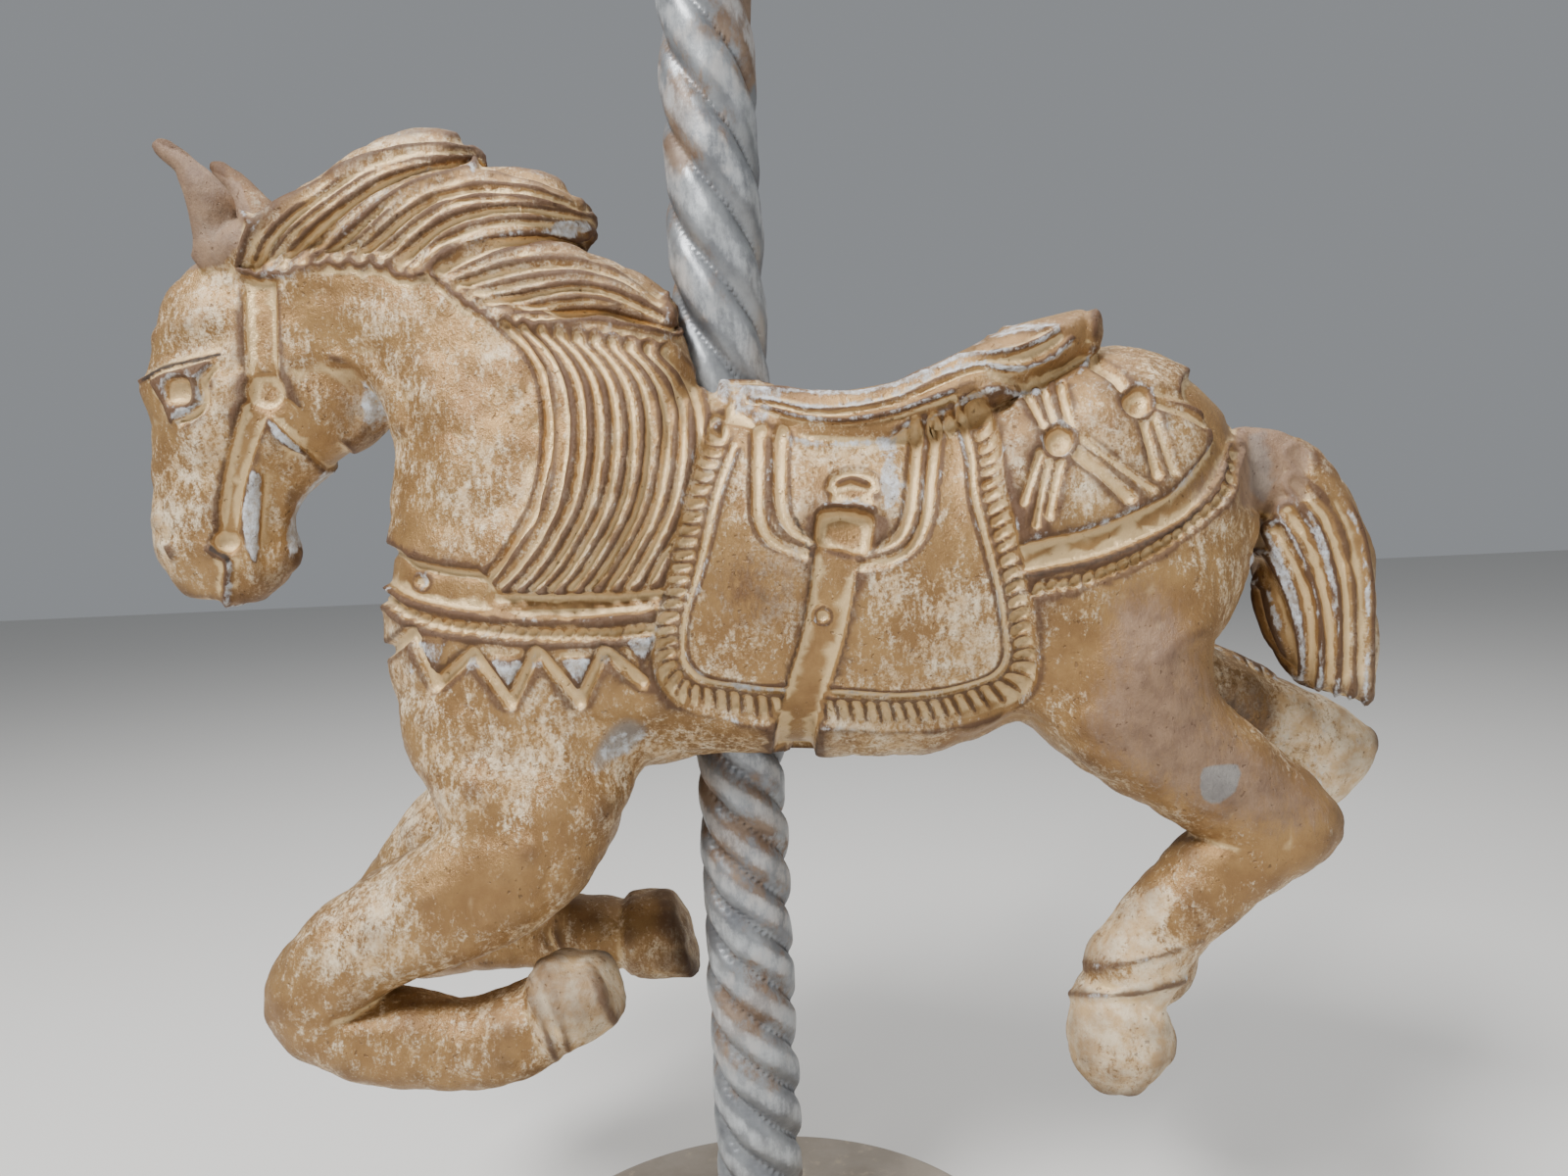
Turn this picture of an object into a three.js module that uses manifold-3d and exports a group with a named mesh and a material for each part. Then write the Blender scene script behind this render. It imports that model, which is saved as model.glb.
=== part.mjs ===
// A carved carousel horse on a twisted pole with a round base, in millimetres, +Z up.
// The origin is the middle of the base's underside. The horse looks along -X and its near side is -Y.
import * as THREE from 'three';
import { mergeVertices } from 'three/addons/utils/BufferGeometryUtils.js';
import Module from 'manifold-3d';

const wasm = await Module();
wasm.setup();

// Driving dimensions
const BASE_RADIUS = 76;
const BASE_THICKNESS = 13;
const BASE_EDGE_ROUND = 4;
const POLE_RADIUS_LOWER = 12.1;
const POLE_RADIUS_UPPER = 12.7;
const POLE_TOP_HEIGHT = 398;
const POLE_GROOVE_DEPTH = 2.4;
const POLE_STRANDS = 4;
const POLE_LEAD_LOWER = 52;
const POLE_LEAD_UPPER = 84;
const HORSE_LENGTH = 330;
const RIDE_HEIGHT = 160;
const POLE_CLEARANCE = 0.3;
const SEAT_GAP = 0.3;
const STRAP_HEIGHT = 2.2;
const BLANKET_HEIGHT = 2;
const BORDER_HEIGHT = 3.6;
const GIRTH_HEIGHT = 3.6;
const KEEPER_HEIGHT = 4.6;
const BUCKLE_HEIGHT = 6.6;
const SADDLE_RIM_HEIGHT = 2.6;

// The horse is drawn on a grid with this many units to its length. X counts from the pole's axis,
// and Z from the ground, with the belly's lowest place on the pole at GRID_BELLY.
const GRID = 330;
const GRID_BELLY = 160;
const UNIT = HORSE_LENGTH / GRID;
const place = (x, y, z) => [x * UNIT, y * UNIT, RIDE_HEIGHT + (z - GRID_BELLY) * UNIT];
const units = (millimetres) => millimetres / UNIT;

// Solids from closed meshes, and back
function solidFrom(geometry) {
  const bare = geometry.index ? geometry.clone() : geometry;
  bare.deleteAttribute('normal');
  bare.deleteAttribute('uv');
  const merged = mergeVertices(bare, 1e-4);
  return new wasm.Manifold(new wasm.Mesh({
    numProp: 3,
    vertProperties: new Float32Array(merged.attributes.position.array),
    triVerts: new Uint32Array(merged.index.array),
  }));
}

function geometryFrom(solid) {
  const mesh = solid.getMesh();
  const geometry = new THREE.BufferGeometry();
  geometry.setAttribute('position', new THREE.BufferAttribute(mesh.vertProperties, 3));
  geometry.setIndex(new THREE.BufferAttribute(mesh.triVerts, 1));
  geometry.computeVertexNormals();
  return geometry;
}

// A closed skin over rings of equally many points, each end closed by a fan to its middle
function skinOver(rings) {
  const points = rings.flat();
  const count = rings[0].length;
  const middle = (ring) => [0, 1, 2].map((k) => ring.reduce((sum, p) => sum + p[k], 0) / count);
  const first = points.push(middle(rings[0])) - 1;
  const last = points.push(middle(rings.at(-1))) - 1;
  const faces = [];
  for (let i = 0; i < count; i += 1) {
    const j = (i + 1) % count;
    const end = (rings.length - 1) * count;
    faces.push(first, j, i, last, end + i, end + j);
    for (let r = 0; r < rings.length - 1; r += 1) {
      const a = r * count;
      faces.push(a + i, a + j, a + count + j, a + i, a + count + j, a + count + i);
    }
  }
  const corner = (f) => new THREE.Vector3(...points[f]);
  let volume = 0;
  for (let f = 0; f < faces.length; f += 3) {
    volume += corner(faces[f]).dot(corner(faces[f + 1]).cross(corner(faces[f + 2])));
  }
  const geometry = new THREE.BufferGeometry();
  geometry.setAttribute('position', new THREE.Float32BufferAttribute(points.flat(), 3));
  geometry.setIndex(volume > 0 ? faces : faces.reverse());
  return geometry;
}

// A carved form is a ladder of rungs seen from the side. A rung runs from one edge of the
// silhouette to the other, as [x, z, x, z, half width, middle's y], and carries a rounded section.
// A form with ridges has that many locks of hair or strands across each face.
function sectionOf(form, rung) {
  const [x1, z1, x2, z2, half, y = 0] = rung;
  const fullness = form.fullness ?? 2.2;
  const ring = [];
  const add = (across, out) => ring.push(place(
    (x1 + x2) / 2 + across * (x1 - x2) / 2, y + out * half, (z1 + z2) / 2 + across * (z1 - z2) / 2,
  ));
  const power = (value) => Math.sign(value) * Math.abs(value) ** (2 / fullness);
  if (!form.ridges) {
    for (let k = 0; k < form.sides; k += 1) {
      const angle = (k / form.sides) * 2 * Math.PI;
      add(power(Math.cos(angle)), power(Math.sin(angle)));
    }
    return ring;
  }
  const steps = 2 * form.ridges;
  for (let k = 0; k < 2 * steps; k += 1) {
    const across = 1 - (2 * (k % steps)) / steps;
    const dip = k % 2 === 0 ? form.groove / half : 0;
    const out = Math.max((1 - Math.abs(across) ** fullness) ** (1 / fullness) - dip, 0);
    add(k < steps ? across : -across, k % steps === 0 ? 0 : (k < steps ? out : -out));
  }
  return ring;
}

const carve = (form) => solidFrom(skinOver(form.rungs.map((rung) => sectionOf(form, rung))));

// The same form with its surface moved out, for what is carved on top of it
function grown(form, rise) {
  const step = units(rise);
  const rungs = form.rungs.map(([x1, z1, x2, z2, half, y = 0]) => {
    const length = Math.hypot(x1 - x2, z1 - z2);
    const dx = ((x1 - x2) / length) * step;
    const dz = ((z1 - z2) / length) * step;
    return [x1 + dx, z1 + dz, x2 - dx, z2 - dz, half + step, y];
  });
  return { ...form, rungs };
}

// A block right through the horse with the given outline in side view
const THROUGH = 70;
function blockOf(outline) {
  const shape = new THREE.Shape(outline.map(([x, z]) => {
    const [px, , pz] = place(x, 0, z);
    return new THREE.Vector2(px, pz);
  }));
  const geometry = new THREE.ExtrudeGeometry(shape, { depth: 2 * THROUGH * UNIT, bevelEnabled: false });
  geometry.rotateX(Math.PI / 2);
  geometry.translate(0, THROUGH * UNIT, 0);
  return solidFrom(geometry);
}

const joined = (solids) => solids.reduce((all, solid) => all.add(solid));
const raised = (outline, forms, rise) => blockOf(outline).intersect(
  joined(forms.map((form) => carve(grown(form, rise)))),
);

// The outline of a strap of some width along a line of points
function strapOutline(points, width, endWidth = width) {
  const sides = [[], []];
  points.forEach(([x, z], i) => {
    const [ax, az] = points[Math.max(i - 1, 0)];
    const [bx, bz] = points[Math.min(i + 1, points.length - 1)];
    const length = Math.hypot(bx - ax, bz - az);
    const half = (width + ((endWidth - width) * i) / (points.length - 1)) / 2;
    sides[0].push([x - ((bz - az) / length) * half, z + ((bx - ax) / length) * half]);
    sides[1].unshift([x + ((bz - az) / length) * half, z - ((bx - ax) / length) * half]);
  });
  return sides.flat();
}

// A round outline, for rosettes and rivets
const discOutline = (x, z, radius, corners = 10) => Array.from({ length: corners }, (_, k) => {
  const angle = (2 * Math.PI * k) / corners;
  return [x + radius * Math.cos(angle), z + radius * Math.sin(angle)];
});

// Body, head and neck
const TRUNK = {
  sides: 14,
  fullness: 2.4,
  rungs: [
    [-88, 200, -83.5, 168, 9], [-85, 210, -79.5, 158, 21], [-75, 221, -69, 154, 29],
    [-55, 235, -49, 154, 34], [-33, 247, -29, 158.5, 36.5], [-9, 256, -7, 161, 38],
    [24, 248, 24, 159.6, 38.8], [56, 249, 53, 160, 38.6], [78, 257, 70, 166, 38],
    [98, 261, 86, 167, 36.5], [113, 258, 101, 170, 33.5], [125, 249, 116, 178, 27],
    [133, 238, 128, 192, 17], [136.5, 226, 134, 205, 8],
  ],
};
const NECK = {
  sides: 14,
  fullness: 2.2,
  rungs: [
    [-143, 209.5, -124, 207, 6.5], [-148.3, 217, -114.5, 215, 9.5], [-149.7, 225, -115, 224, 10.5],
    [-149, 234, -113, 231, 10.5], [-147.6, 244, -103, 239.5, 12.5], [-147.4, 254, -92, 246.5, 15],
    [-149.6, 265, -87, 251, 15.5], [-146, 275, -84.5, 252, 15], [-139, 288, -83.5, 252.5, 14],
    [-124, 299, -83, 252.5, 13.5], [-103, 305, -83, 251, 14.5], [-80, 307, -84, 245, 17],
    [-58, 300, -84.5, 235, 20.5], [-38, 287, -86.5, 223, 24.5], [-22, 270, -88.5, 210, 28.5],
    [-12, 252, -87.5, 196, 30.5], [-8, 232, -83, 184, 29.5],
  ],
};

// Legs: each from the shoulder or hip down, folding at the knee or hock
const FORELEG_NEAR = {
  sides: 10,
  fullness: 2.3,
  rungs: [
    [-80, 178, -32, 176, 13, -17], [-78, 164, -27, 158, 16, -20], [-73.2, 150, -30, 149, 16.5, -22],
    [-84, 142, -35, 139, 16, -23], [-97, 135, -45.5, 127.5, 15, -24], [-108.6, 126, -60, 119.5, 14, -25],
    [-116, 116, -78, 114.5, 13, -25], [-117.5, 106, -92, 108, 12.5, -25], [-112.7, 98, -92.5, 107, 12, -25],
    [-103.7, 91.2, -90, 108, 11.5, -25], [-91, 86.4, -83, 107.4, 11, -25],
    [-70, 84.4, -69, 104.8, 10, -25], [-57, 86, -58.5, 107.8, 10.6, -25],
    [-50, 89.8, -53.5, 109.3, 9.6, -25], [-46, 92, -51.5, 113.5, 11.4, -25],
    [-38, 96, -46.6, 116.3, 12.4, -25], [-31.6, 101, -37, 114, 10.5, -25],
  ],
};
const FORELEG_FAR = {
  ...FORELEG_NEAR,
  rungs: [
    [-80, 178, -32, 176, 13, 17], [-80, 164, -28, 158, 16, 20], [-89, 150, -34, 147, 16.5, 22],
    [-99, 138.5, -47, 133, 16, 23], [-108.5, 126, -63, 122, 15, 24], [-115.5, 115, -80, 118, 14, 25],
    [-117, 105, -93, 113, 13, 25], [-111, 97, -92, 112, 12, 25], [-100, 94, -88, 113.5, 11, 25],
    [-84, 95, -81, 114.5, 10.5, 25], [-56, 95, -56, 114, 10, 25], [-43, 92, -43, 113, 10.6, 25],
    [-37.5, 94, -37.5, 111.5, 9.4, 25], [-34, 92.2, -34, 113.4, 11.4, 25],
    [-24, 91.3, -24.5, 114, 12.4, 25], [-17.8, 91, -20, 108, 11.5, 25],
  ],
};
const HIND_PROFILE = [
  [74, 204, 124, 218, 14, 15], [73, 184, 122, 200, 18, 18], [76, 168, 116, 187, 19, 20],
  [83, 160, 117.5, 175, 18, 21], [92, 153, 122.5, 168.5, 16, 22], [103, 146.5, 130, 160.5, 13.5, 23],
  [112, 141, 139, 152.5, 11.5, 23], [113, 138, 147.8, 141, 10.5, 23], [110, 136, 144.5, 133.6, 10, 23],
  [106, 132.5, 134.5, 127.2, 9.6, 23], [99.5, 125, 123.5, 120.6, 9.4, 23], [91, 116.3, 114, 112, 9, 23],
  [86.4, 108.5, 107.4, 104, 9.6, 23], [86.3, 104, 103.4, 96.4, 9, 23], [82.4, 98, 104.5, 91, 11, 23],
  [80.8, 86, 104.4, 85, 12, 23], [85, 78.6, 97, 78.6, 9, 23],
];
const HIND_NEAR = {
  sides: 10,
  fullness: 2.3,
  rungs: HIND_PROFILE.map(([x1, z1, x2, z2, half, y]) => [x1, z1, x2, z2, half, -y]),
};
// The far hind leg reaches further back: its rungs move by a growing share down to the hock, and
// below the cannon it comes forward again, so that it hides behind the near one
const FAR_HOCK_BACK = 31;
const FAR_HOCK_UP = 11;
const FAR_CANNON_BACK = 5;
const FAR_HOOF_FORWARD = 3.4;
const FAR_LEG_DROP = 1.6;
const HOCK_RUNG = 7;
const CANNON_RUNGS = 3;
const HIND_FAR = {
  ...HIND_NEAR,
  rungs: HIND_PROFILE.map(([x1, z1, x2, z2, half, y], i) => {
    const share = Math.min(i / HOCK_RUNG, 1);
    const below = Math.max(i - HOCK_RUNG, 0);
    const cannon = Math.min(below / CANNON_RUNGS, 1);
    const hoof = Math.max(below - CANNON_RUNGS, 0);
    const back = FAR_HOCK_BACK * share + FAR_CANNON_BACK * cannon - FAR_HOOF_FORWARD * hoof;
    const up = FAR_HOCK_UP * share - FAR_LEG_DROP * below;
    return [x1 + back, z1 + up, x2 + back, z2 + up, half, y];
  }),
};

// Ears and hair
const earAt = (x, z, lean, y) => ({
  sides: 8,
  fullness: 2,
  rungs: [
    [x - 5, z - 2, x + 5.5, z + 1, 3.4, y], [x - 4.4, z + 9, x + 6, z + 11, 4, y * 1.1],
    [x - 6 + lean * 0.4, z + 17, x + 0.6 + lean * 0.4, z + 18.5, 3.2, y * 1.2],
    [x - 10 + lean, z + 23.6, x - 6.5 + lean, z + 24.4, 1.3, y * 1.3],
  ],
});
const EARS = [earAt(-125.5, 296, -1, -8.5), earAt(-122.5, 297, -0.5, 8.5)];
const MANE_TIERS = [
  {
    ridges: 5,
    groove: 1.3,
    rungs: [
      [-133, 296, -125, 287, 10], [-120, 303, -116, 288, 14.5], [-105, 310.2, -103, 291, 16],
      [-90, 318.2, -90, 293, 17], [-76, 322.5, -76, 298, 16], [-66, 322, -66, 304, 13.5],
      [-60.5, 319, -61, 313.5, 8],
    ],
  },
  {
    ridges: 5,
    groove: 1.3,
    rungs: [
      [-92, 311, -98, 288, 15], [-76, 314, -82, 285, 17.5], [-60, 314, -66, 281, 18.5],
      [-48, 312.5, -52, 284, 18], [-39, 309, -43, 290, 15.5], [-32, 302, -34, 297, 9],
    ],
  },
  {
    ridges: 5,
    groove: 1.3,
    rungs: [
      [-66, 297, -76, 279, 18.5], [-48, 297, -58, 270, 20.5], [-32, 292, -44, 266, 22],
      [-20, 285, -30, 265, 21], [-10, 276, -14, 264, 18.5],
    ],
  },
];
const SHOULDER_LOCKS = {
  ridges: 8,
  groove: 1.5,
  fullness: 3,
  rungs: [
    [-60, 276, -8, 268, 24], [-47, 264, -6, 256, 29.5], [-42.5, 246, -8, 239, 35],
    [-47, 228, -14, 220, 38.5], [-56, 215, -20, 208, 38.5], [-64, 204, -26, 201, 36],
  ],
};
const TAIL = {
  ridges: 5,
  groove: 1.4,
  fullness: 2.4,
  rungs: [
    [122, 246, 127, 224, 7], [134, 241, 136, 217.5, 7.6], [144.5, 238.5, 140.5, 216, 8.4],
    [157, 228, 139.6, 209, 9.6], [165.6, 213, 139, 202, 10.4], [167.8, 198, 140, 193, 11],
    [168, 182, 144, 181.5, 10.6], [167, 166.5, 150, 173, 9],
  ],
};

// Saddle: a seat with a rolled rim that climbs to the cantle
const SADDLE = {
  sides: 16,
  fullness: 2.6,
  rungs: [
    [0, 258.5, 0, 240, 19], [12, 256.4, 11, 237, 26], [26, 254, 26, 235, 29.5], [41, 255.2, 42, 236, 30.5],
    [56, 260.7, 58, 240, 30.5], [72, 267.6, 73, 246, 29], [84, 270.6, 86, 252, 26],
    [91.5, 271.6, 93, 258, 20], [95.6, 267.5, 95.8, 261, 10],
  ],
};
const SADDLE_RIM_LINE = [[2, 251], [12, 246.5], [26, 244], [42, 245], [56, 249], [70, 254], [92, 262]];
const SADDLE_RIM_WIDTH = 5;

// Straps and cloth on the flanks, as outlines in side view
const BLANKET = [
  [1, 250], [-13, 212.5], [-18.5, 190], [-15.5, 181.5], [-2, 176.5], [22, 173.3], [41, 172.4], [59, 174.5],
  [69, 178], [72, 184], [68.8, 211], [60, 250],
];
const BLANKET_PANEL = [
  [6, 252], [-7.6, 212], [-12.5, 191], [-10, 185.5], [0, 181.8], [22, 178.6], [41, 177.8], [57, 179.8],
  [64, 182.8], [66, 187], [63.2, 210], [54.5, 252],
];
const FLAP_LINE = [
  [5.5, 243], [6.6, 226], [10, 215], [20, 210.8], [37, 210], [45.5, 216], [48.5, 227], [48.5, 246],
];
const FLAP_WIDTH = 3.4;
const GIRTH_LINE = [[28, 222], [26.2, 213.5], [20.9, 194], [15.5, 175.5], [13, 150]];
const GIRTH_WIDTH = 10.4;
const BUCKLE_LINE = [[28.6, 224], [27.6, 213.5]];
const BUCKLE_WIDTH = 12.6;
const KEEPER_LINE = [[30, 231.5], [29.4, 225.5]];
const KEEPER_WIDTH = 9.8;
const CHEST_BAND = [[-95, 216], [-76, 209], [-50, 206.6], [-19, 206], [-19, 195.6], [-95, 198.5]];
const HIP_STRAP_LINE = [[69, 202.5], [95, 206.8], [116, 219], [129, 246]];
const HIP_STRAP_WIDTH = 12;
const FRINGE_LINE = [
  [-93, 193], [-86, 186.5], [-79, 194], [-71, 185], [-63.5, 193.5], [-54, 181], [-46.5, 193], [-37.5, 180.5],
  [-31, 192], [-25.5, 186],
];
const FRINGE_WIDTH = 2.6;
const CHEEK_STRAP_LINES = [
  [[-116.5, 294], [-118.5, 262]], [[-119.5, 261], [-126, 242], [-131.5, 224]], [[-118, 259], [-101, 240]],
];
const CHEEK_STRAP_WIDTH = 6.4;
const CHEEK_ROSETTE = [-119, 260.5];
const CHEEK_ROSETTE_RADIUS = 5;
const HIP_ROSETTES = [[80, 237.3], [101.5, 247]];
const HIP_ROSETTE_RADIUS = 3.4;
const HIP_TAB_REACH = [12, -15];
const HIP_TAB_WIDTH = 5;
const EYE = { x: -138.6, y: 12.6, z: 262 };
const EYE_HALVES = { x: 3.4, y: 2.6, z: 3.2 };
const MOUTH_SLIT = [[-137.6, 204], [-131.5, 215.5], [-134.6, 204]];

// The horse's tack, each piece raised from the forms that it lies on
const BODY = [TRUNK, NECK];
function tackSolids() {
  const tack = [
    raised(BLANKET, [TRUNK], BORDER_HEIGHT).subtract(
      blockOf(BLANKET_PANEL).subtract(carve(grown(TRUNK, BLANKET_HEIGHT))),
    ),
    raised(strapOutline(FLAP_LINE, FLAP_WIDTH), [TRUNK], BORDER_HEIGHT),
    raised(strapOutline(GIRTH_LINE, GIRTH_WIDTH), [TRUNK], GIRTH_HEIGHT),
    raised(strapOutline(BUCKLE_LINE, BUCKLE_WIDTH), [TRUNK], BUCKLE_HEIGHT),
    raised(strapOutline(KEEPER_LINE, KEEPER_WIDTH), [TRUNK], KEEPER_HEIGHT),
    raised(CHEST_BAND, BODY, STRAP_HEIGHT),
    raised(strapOutline(FRINGE_LINE, FRINGE_WIDTH), BODY, STRAP_HEIGHT),
    raised(strapOutline(HIP_STRAP_LINE, HIP_STRAP_WIDTH), [TRUNK], STRAP_HEIGHT),
    raised(discOutline(...CHEEK_ROSETTE, CHEEK_ROSETTE_RADIUS), [NECK], BORDER_HEIGHT),
    raised(strapOutline(SADDLE_RIM_LINE, SADDLE_RIM_WIDTH), [SADDLE], SADDLE_RIM_HEIGHT),
  ];
  CHEEK_STRAP_LINES.forEach((line) => {
    tack.push(raised(strapOutline(line, CHEEK_STRAP_WIDTH), [NECK], STRAP_HEIGHT));
  });
  HIP_ROSETTES.forEach(([x, z]) => {
    const tab = [[x, z], [x + HIP_TAB_REACH[0], z + HIP_TAB_REACH[1]]];
    tack.push(raised(discOutline(x, z, HIP_ROSETTE_RADIUS), [TRUNK], BORDER_HEIGHT));
    tack.push(raised(strapOutline(tab, HIP_TAB_WIDTH), [TRUNK], STRAP_HEIGHT));
  });
  return tack;
}

// The eyes: a ball on each side, squeezed to three half sizes
const eyeBalls = () => [-1, 1].map((side) => {
  const ball = new THREE.SphereGeometry(1, 8, 4);
  ball.scale(EYE_HALVES.x * UNIT, EYE_HALVES.y * UNIT, EYE_HALVES.z * UNIT);
  ball.translate(...place(EYE.x, side * EYE.y, EYE.z));
  return solidFrom(ball);
});

// The pole's bore, right through the horse
const BORE_LOW = 100;
const BORE_HIGH = 330;
const BORE_SIDES = 24;
function poleBore() {
  const radius = Math.max(POLE_RADIUS_UPPER, POLE_RADIUS_LOWER) + POLE_CLEARANCE;
  const [, , low] = place(0, 0, BORE_LOW);
  const [, , high] = place(0, 0, BORE_HIGH);
  const bore = new THREE.CylinderGeometry(radius, radius, high - low, BORE_SIDES);
  bore.rotateX(Math.PI / 2);
  bore.translate(0, 0, (low + high) / 2);
  return solidFrom(bore);
}

function horseSolid() {
  const forms = [
    TRUNK, NECK, FORELEG_NEAR, FORELEG_FAR, HIND_NEAR, HIND_FAR, ...EARS, SADDLE, SHOULDER_LOCKS,
    ...MANE_TIERS, TAIL,
  ];
  const horse = joined([...forms.map(carve), ...tackSolids(), ...eyeBalls()]);
  return horse.subtract(blockOf(MOUTH_SLIT)).subtract(poleBore());
}

// The pole: twisted strands below and above the horse, and a plain round shank inside it. The shank
// runs between two heights on the horse's grid, and the upper end is eased over a share of the radius.
const SHANK_LOW = 168;
const SHANK_HIGH = 240;
const SHANK_EASE = 4;
const SIDES_PER_STRAND = 3;
const RINGS_PER_TURN = 7;
const END_EASE_HEIGHT = 0.3;
const END_EASE_WIDTH = 0.72;
function twistedPole() {
  const foot = BASE_THICKNESS + SEAT_GAP;
  const [, , shankLow] = place(0, 0, SHANK_LOW);
  const [, , shankHigh] = place(0, 0, SHANK_HIGH);
  const around = POLE_STRANDS * SIDES_PER_STRAND;
  const rings = [];
  const ringAt = (z, radius, depth, turn) => {
    const ring = [];
    for (let k = 0; k < around; k += 1) {
      const angle = 2 * Math.PI * (k / around) - turn;
      const dip = k % SIDES_PER_STRAND === 0 ? depth : 0;
      ring.push([(radius - dip) * Math.cos(angle), (radius - dip) * Math.sin(angle), z]);
    }
    rings.push(ring);
  };
  const stepsIn = (height, lead) => Math.max(Math.round((height / lead) * RINGS_PER_TURN), 2);
  const lowerSteps = stepsIn(shankLow - foot, POLE_LEAD_LOWER);
  let turn = 0;
  for (let i = 0; i <= lowerSteps; i += 1) {
    const z = foot + ((shankLow - foot) * i) / lowerSteps;
    turn = (2 * Math.PI * (z - foot)) / POLE_LEAD_LOWER;
    ringAt(z, POLE_RADIUS_LOWER, POLE_GROOVE_DEPTH, turn);
  }
  ringAt(shankLow + SHANK_EASE, POLE_RADIUS_LOWER, 0, turn);
  ringAt(shankHigh - SHANK_EASE, POLE_RADIUS_UPPER, 0, turn);
  const top = POLE_TOP_HEIGHT - POLE_RADIUS_UPPER * END_EASE_HEIGHT;
  const upperSteps = stepsIn(top - shankHigh, POLE_LEAD_UPPER);
  const start = turn;
  for (let i = 0; i <= upperSteps; i += 1) {
    const z = shankHigh + ((top - shankHigh) * i) / upperSteps;
    turn = start + (2 * Math.PI * (z - shankHigh)) / POLE_LEAD_UPPER;
    ringAt(z, POLE_RADIUS_UPPER, POLE_GROOVE_DEPTH, turn);
  }
  ringAt(POLE_TOP_HEIGHT, POLE_RADIUS_UPPER * END_EASE_WIDTH, 0, turn);
  return skinOver(rings);
}

// The base: a plain disc with a rounded upper edge
const BASE_EDGE_BENDS = 3;
const BASE_SIDES = 48;
function baseDisc() {
  const profile = [new THREE.Vector2(0, 0), new THREE.Vector2(BASE_RADIUS, 0)];
  for (let i = 0; i <= BASE_EDGE_BENDS; i += 1) {
    const angle = (Math.PI / 2) * (i / BASE_EDGE_BENDS);
    profile.push(new THREE.Vector2(
      BASE_RADIUS - BASE_EDGE_ROUND * (1 - Math.cos(angle)),
      BASE_THICKNESS - BASE_EDGE_ROUND * (1 - Math.sin(angle)),
    ));
  }
  profile.push(new THREE.Vector2(0, BASE_THICKNESS));
  const disc = new THREE.LatheGeometry(profile, BASE_SIDES);
  disc.rotateX(Math.PI / 2);
  return disc;
}

// Finishes
const WORN_GOLD = new THREE.MeshStandardMaterial({ color: 0xa88a63, roughness: 0.55, metalness: 0.35 });
const GREY_SILVER = new THREE.MeshStandardMaterial({ color: 0x8d8f90, roughness: 0.45, metalness: 0.4 });
const TAUPE_PAINT = new THREE.MeshStandardMaterial({ color: 0x8f8577, roughness: 0.6, metalness: 0 });

const carousel = new THREE.Group();
const piece = (name, geometry, material) => {
  const mesh = new THREE.Mesh(geometry, material);
  mesh.name = name;
  carousel.add(mesh);
};
piece('base', baseDisc(), TAUPE_PAINT);
piece('pole', twistedPole(), GREY_SILVER);
piece('horse', geometryFrom(horseSolid()), WORN_GOLD);

export default carousel;
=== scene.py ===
"""A carved carousel horse in worn gold paint on a twisted pole with a round base.

Lengths are in millimetres in the carving's own frame: X counts from the pole's axis towards the
tail, Y points away from the near side and Z is the height above the ground. The meshes that Blender
gets are in metres.
"""
import logging
import math
from dataclasses import dataclass, field
from enum import Enum

import bpy
import numpy as np
import openvdb
from mathutils import Matrix, Vector


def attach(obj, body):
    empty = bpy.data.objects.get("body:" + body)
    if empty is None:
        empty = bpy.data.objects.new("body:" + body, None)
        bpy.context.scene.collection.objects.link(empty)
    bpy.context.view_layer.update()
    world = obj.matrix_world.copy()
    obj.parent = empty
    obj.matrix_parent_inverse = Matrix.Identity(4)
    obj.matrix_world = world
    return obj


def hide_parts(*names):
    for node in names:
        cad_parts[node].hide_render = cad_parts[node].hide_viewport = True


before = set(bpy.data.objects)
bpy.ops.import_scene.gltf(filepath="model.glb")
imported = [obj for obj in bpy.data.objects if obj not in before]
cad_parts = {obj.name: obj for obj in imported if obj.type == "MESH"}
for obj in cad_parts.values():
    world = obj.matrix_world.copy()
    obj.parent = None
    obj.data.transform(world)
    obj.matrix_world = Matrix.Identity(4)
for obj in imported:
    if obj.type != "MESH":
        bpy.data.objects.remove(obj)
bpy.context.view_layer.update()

logging.basicConfig(level=logging.INFO, format="%(name)s: %(message)s")
LOG = logging.getLogger("carousel")

METRES = 0.001
GOLDEN_SEED = 20


class Side(Enum):
    """The two flanks of the horse, by the sign of their Y."""

    NEAR = -1
    FAR = 1


# Lines and fields
def smooth_line(points: list, steps: int = 8) -> np.ndarray:
    """Rows of numbers joined by a smooth curve.

    Args:
        points: Rows that the curve goes through.
        steps: How many pieces each span is cut into.
    Returns:
        The curve's rows.
    """
    rows = np.asarray(points, float)
    rows = np.vstack([2 * rows[0] - rows[1], rows, 2 * rows[-1] - rows[-2]])
    t = np.linspace(0, 1, steps, endpoint=False)[:, None]
    spans = [
        0.5 * (2 * b + (c - a) * t + (2 * a - 5 * b + 4 * c - d) * t**2 + (3 * b - a - 3 * c + d) * t**3)
        for a, b, c, d in zip(rows[:-3], rows[1:-2], rows[2:-1], rows[3:])
    ]
    return np.vstack(spans + [rows[-2:-1]])


def ramp(value: np.ndarray) -> np.ndarray:
    """A smooth step from 0 to 1 as value goes from 0 to 1."""
    value = np.clip(value, 0, 1)
    return value * value * (3 - 2 * value)


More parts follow.
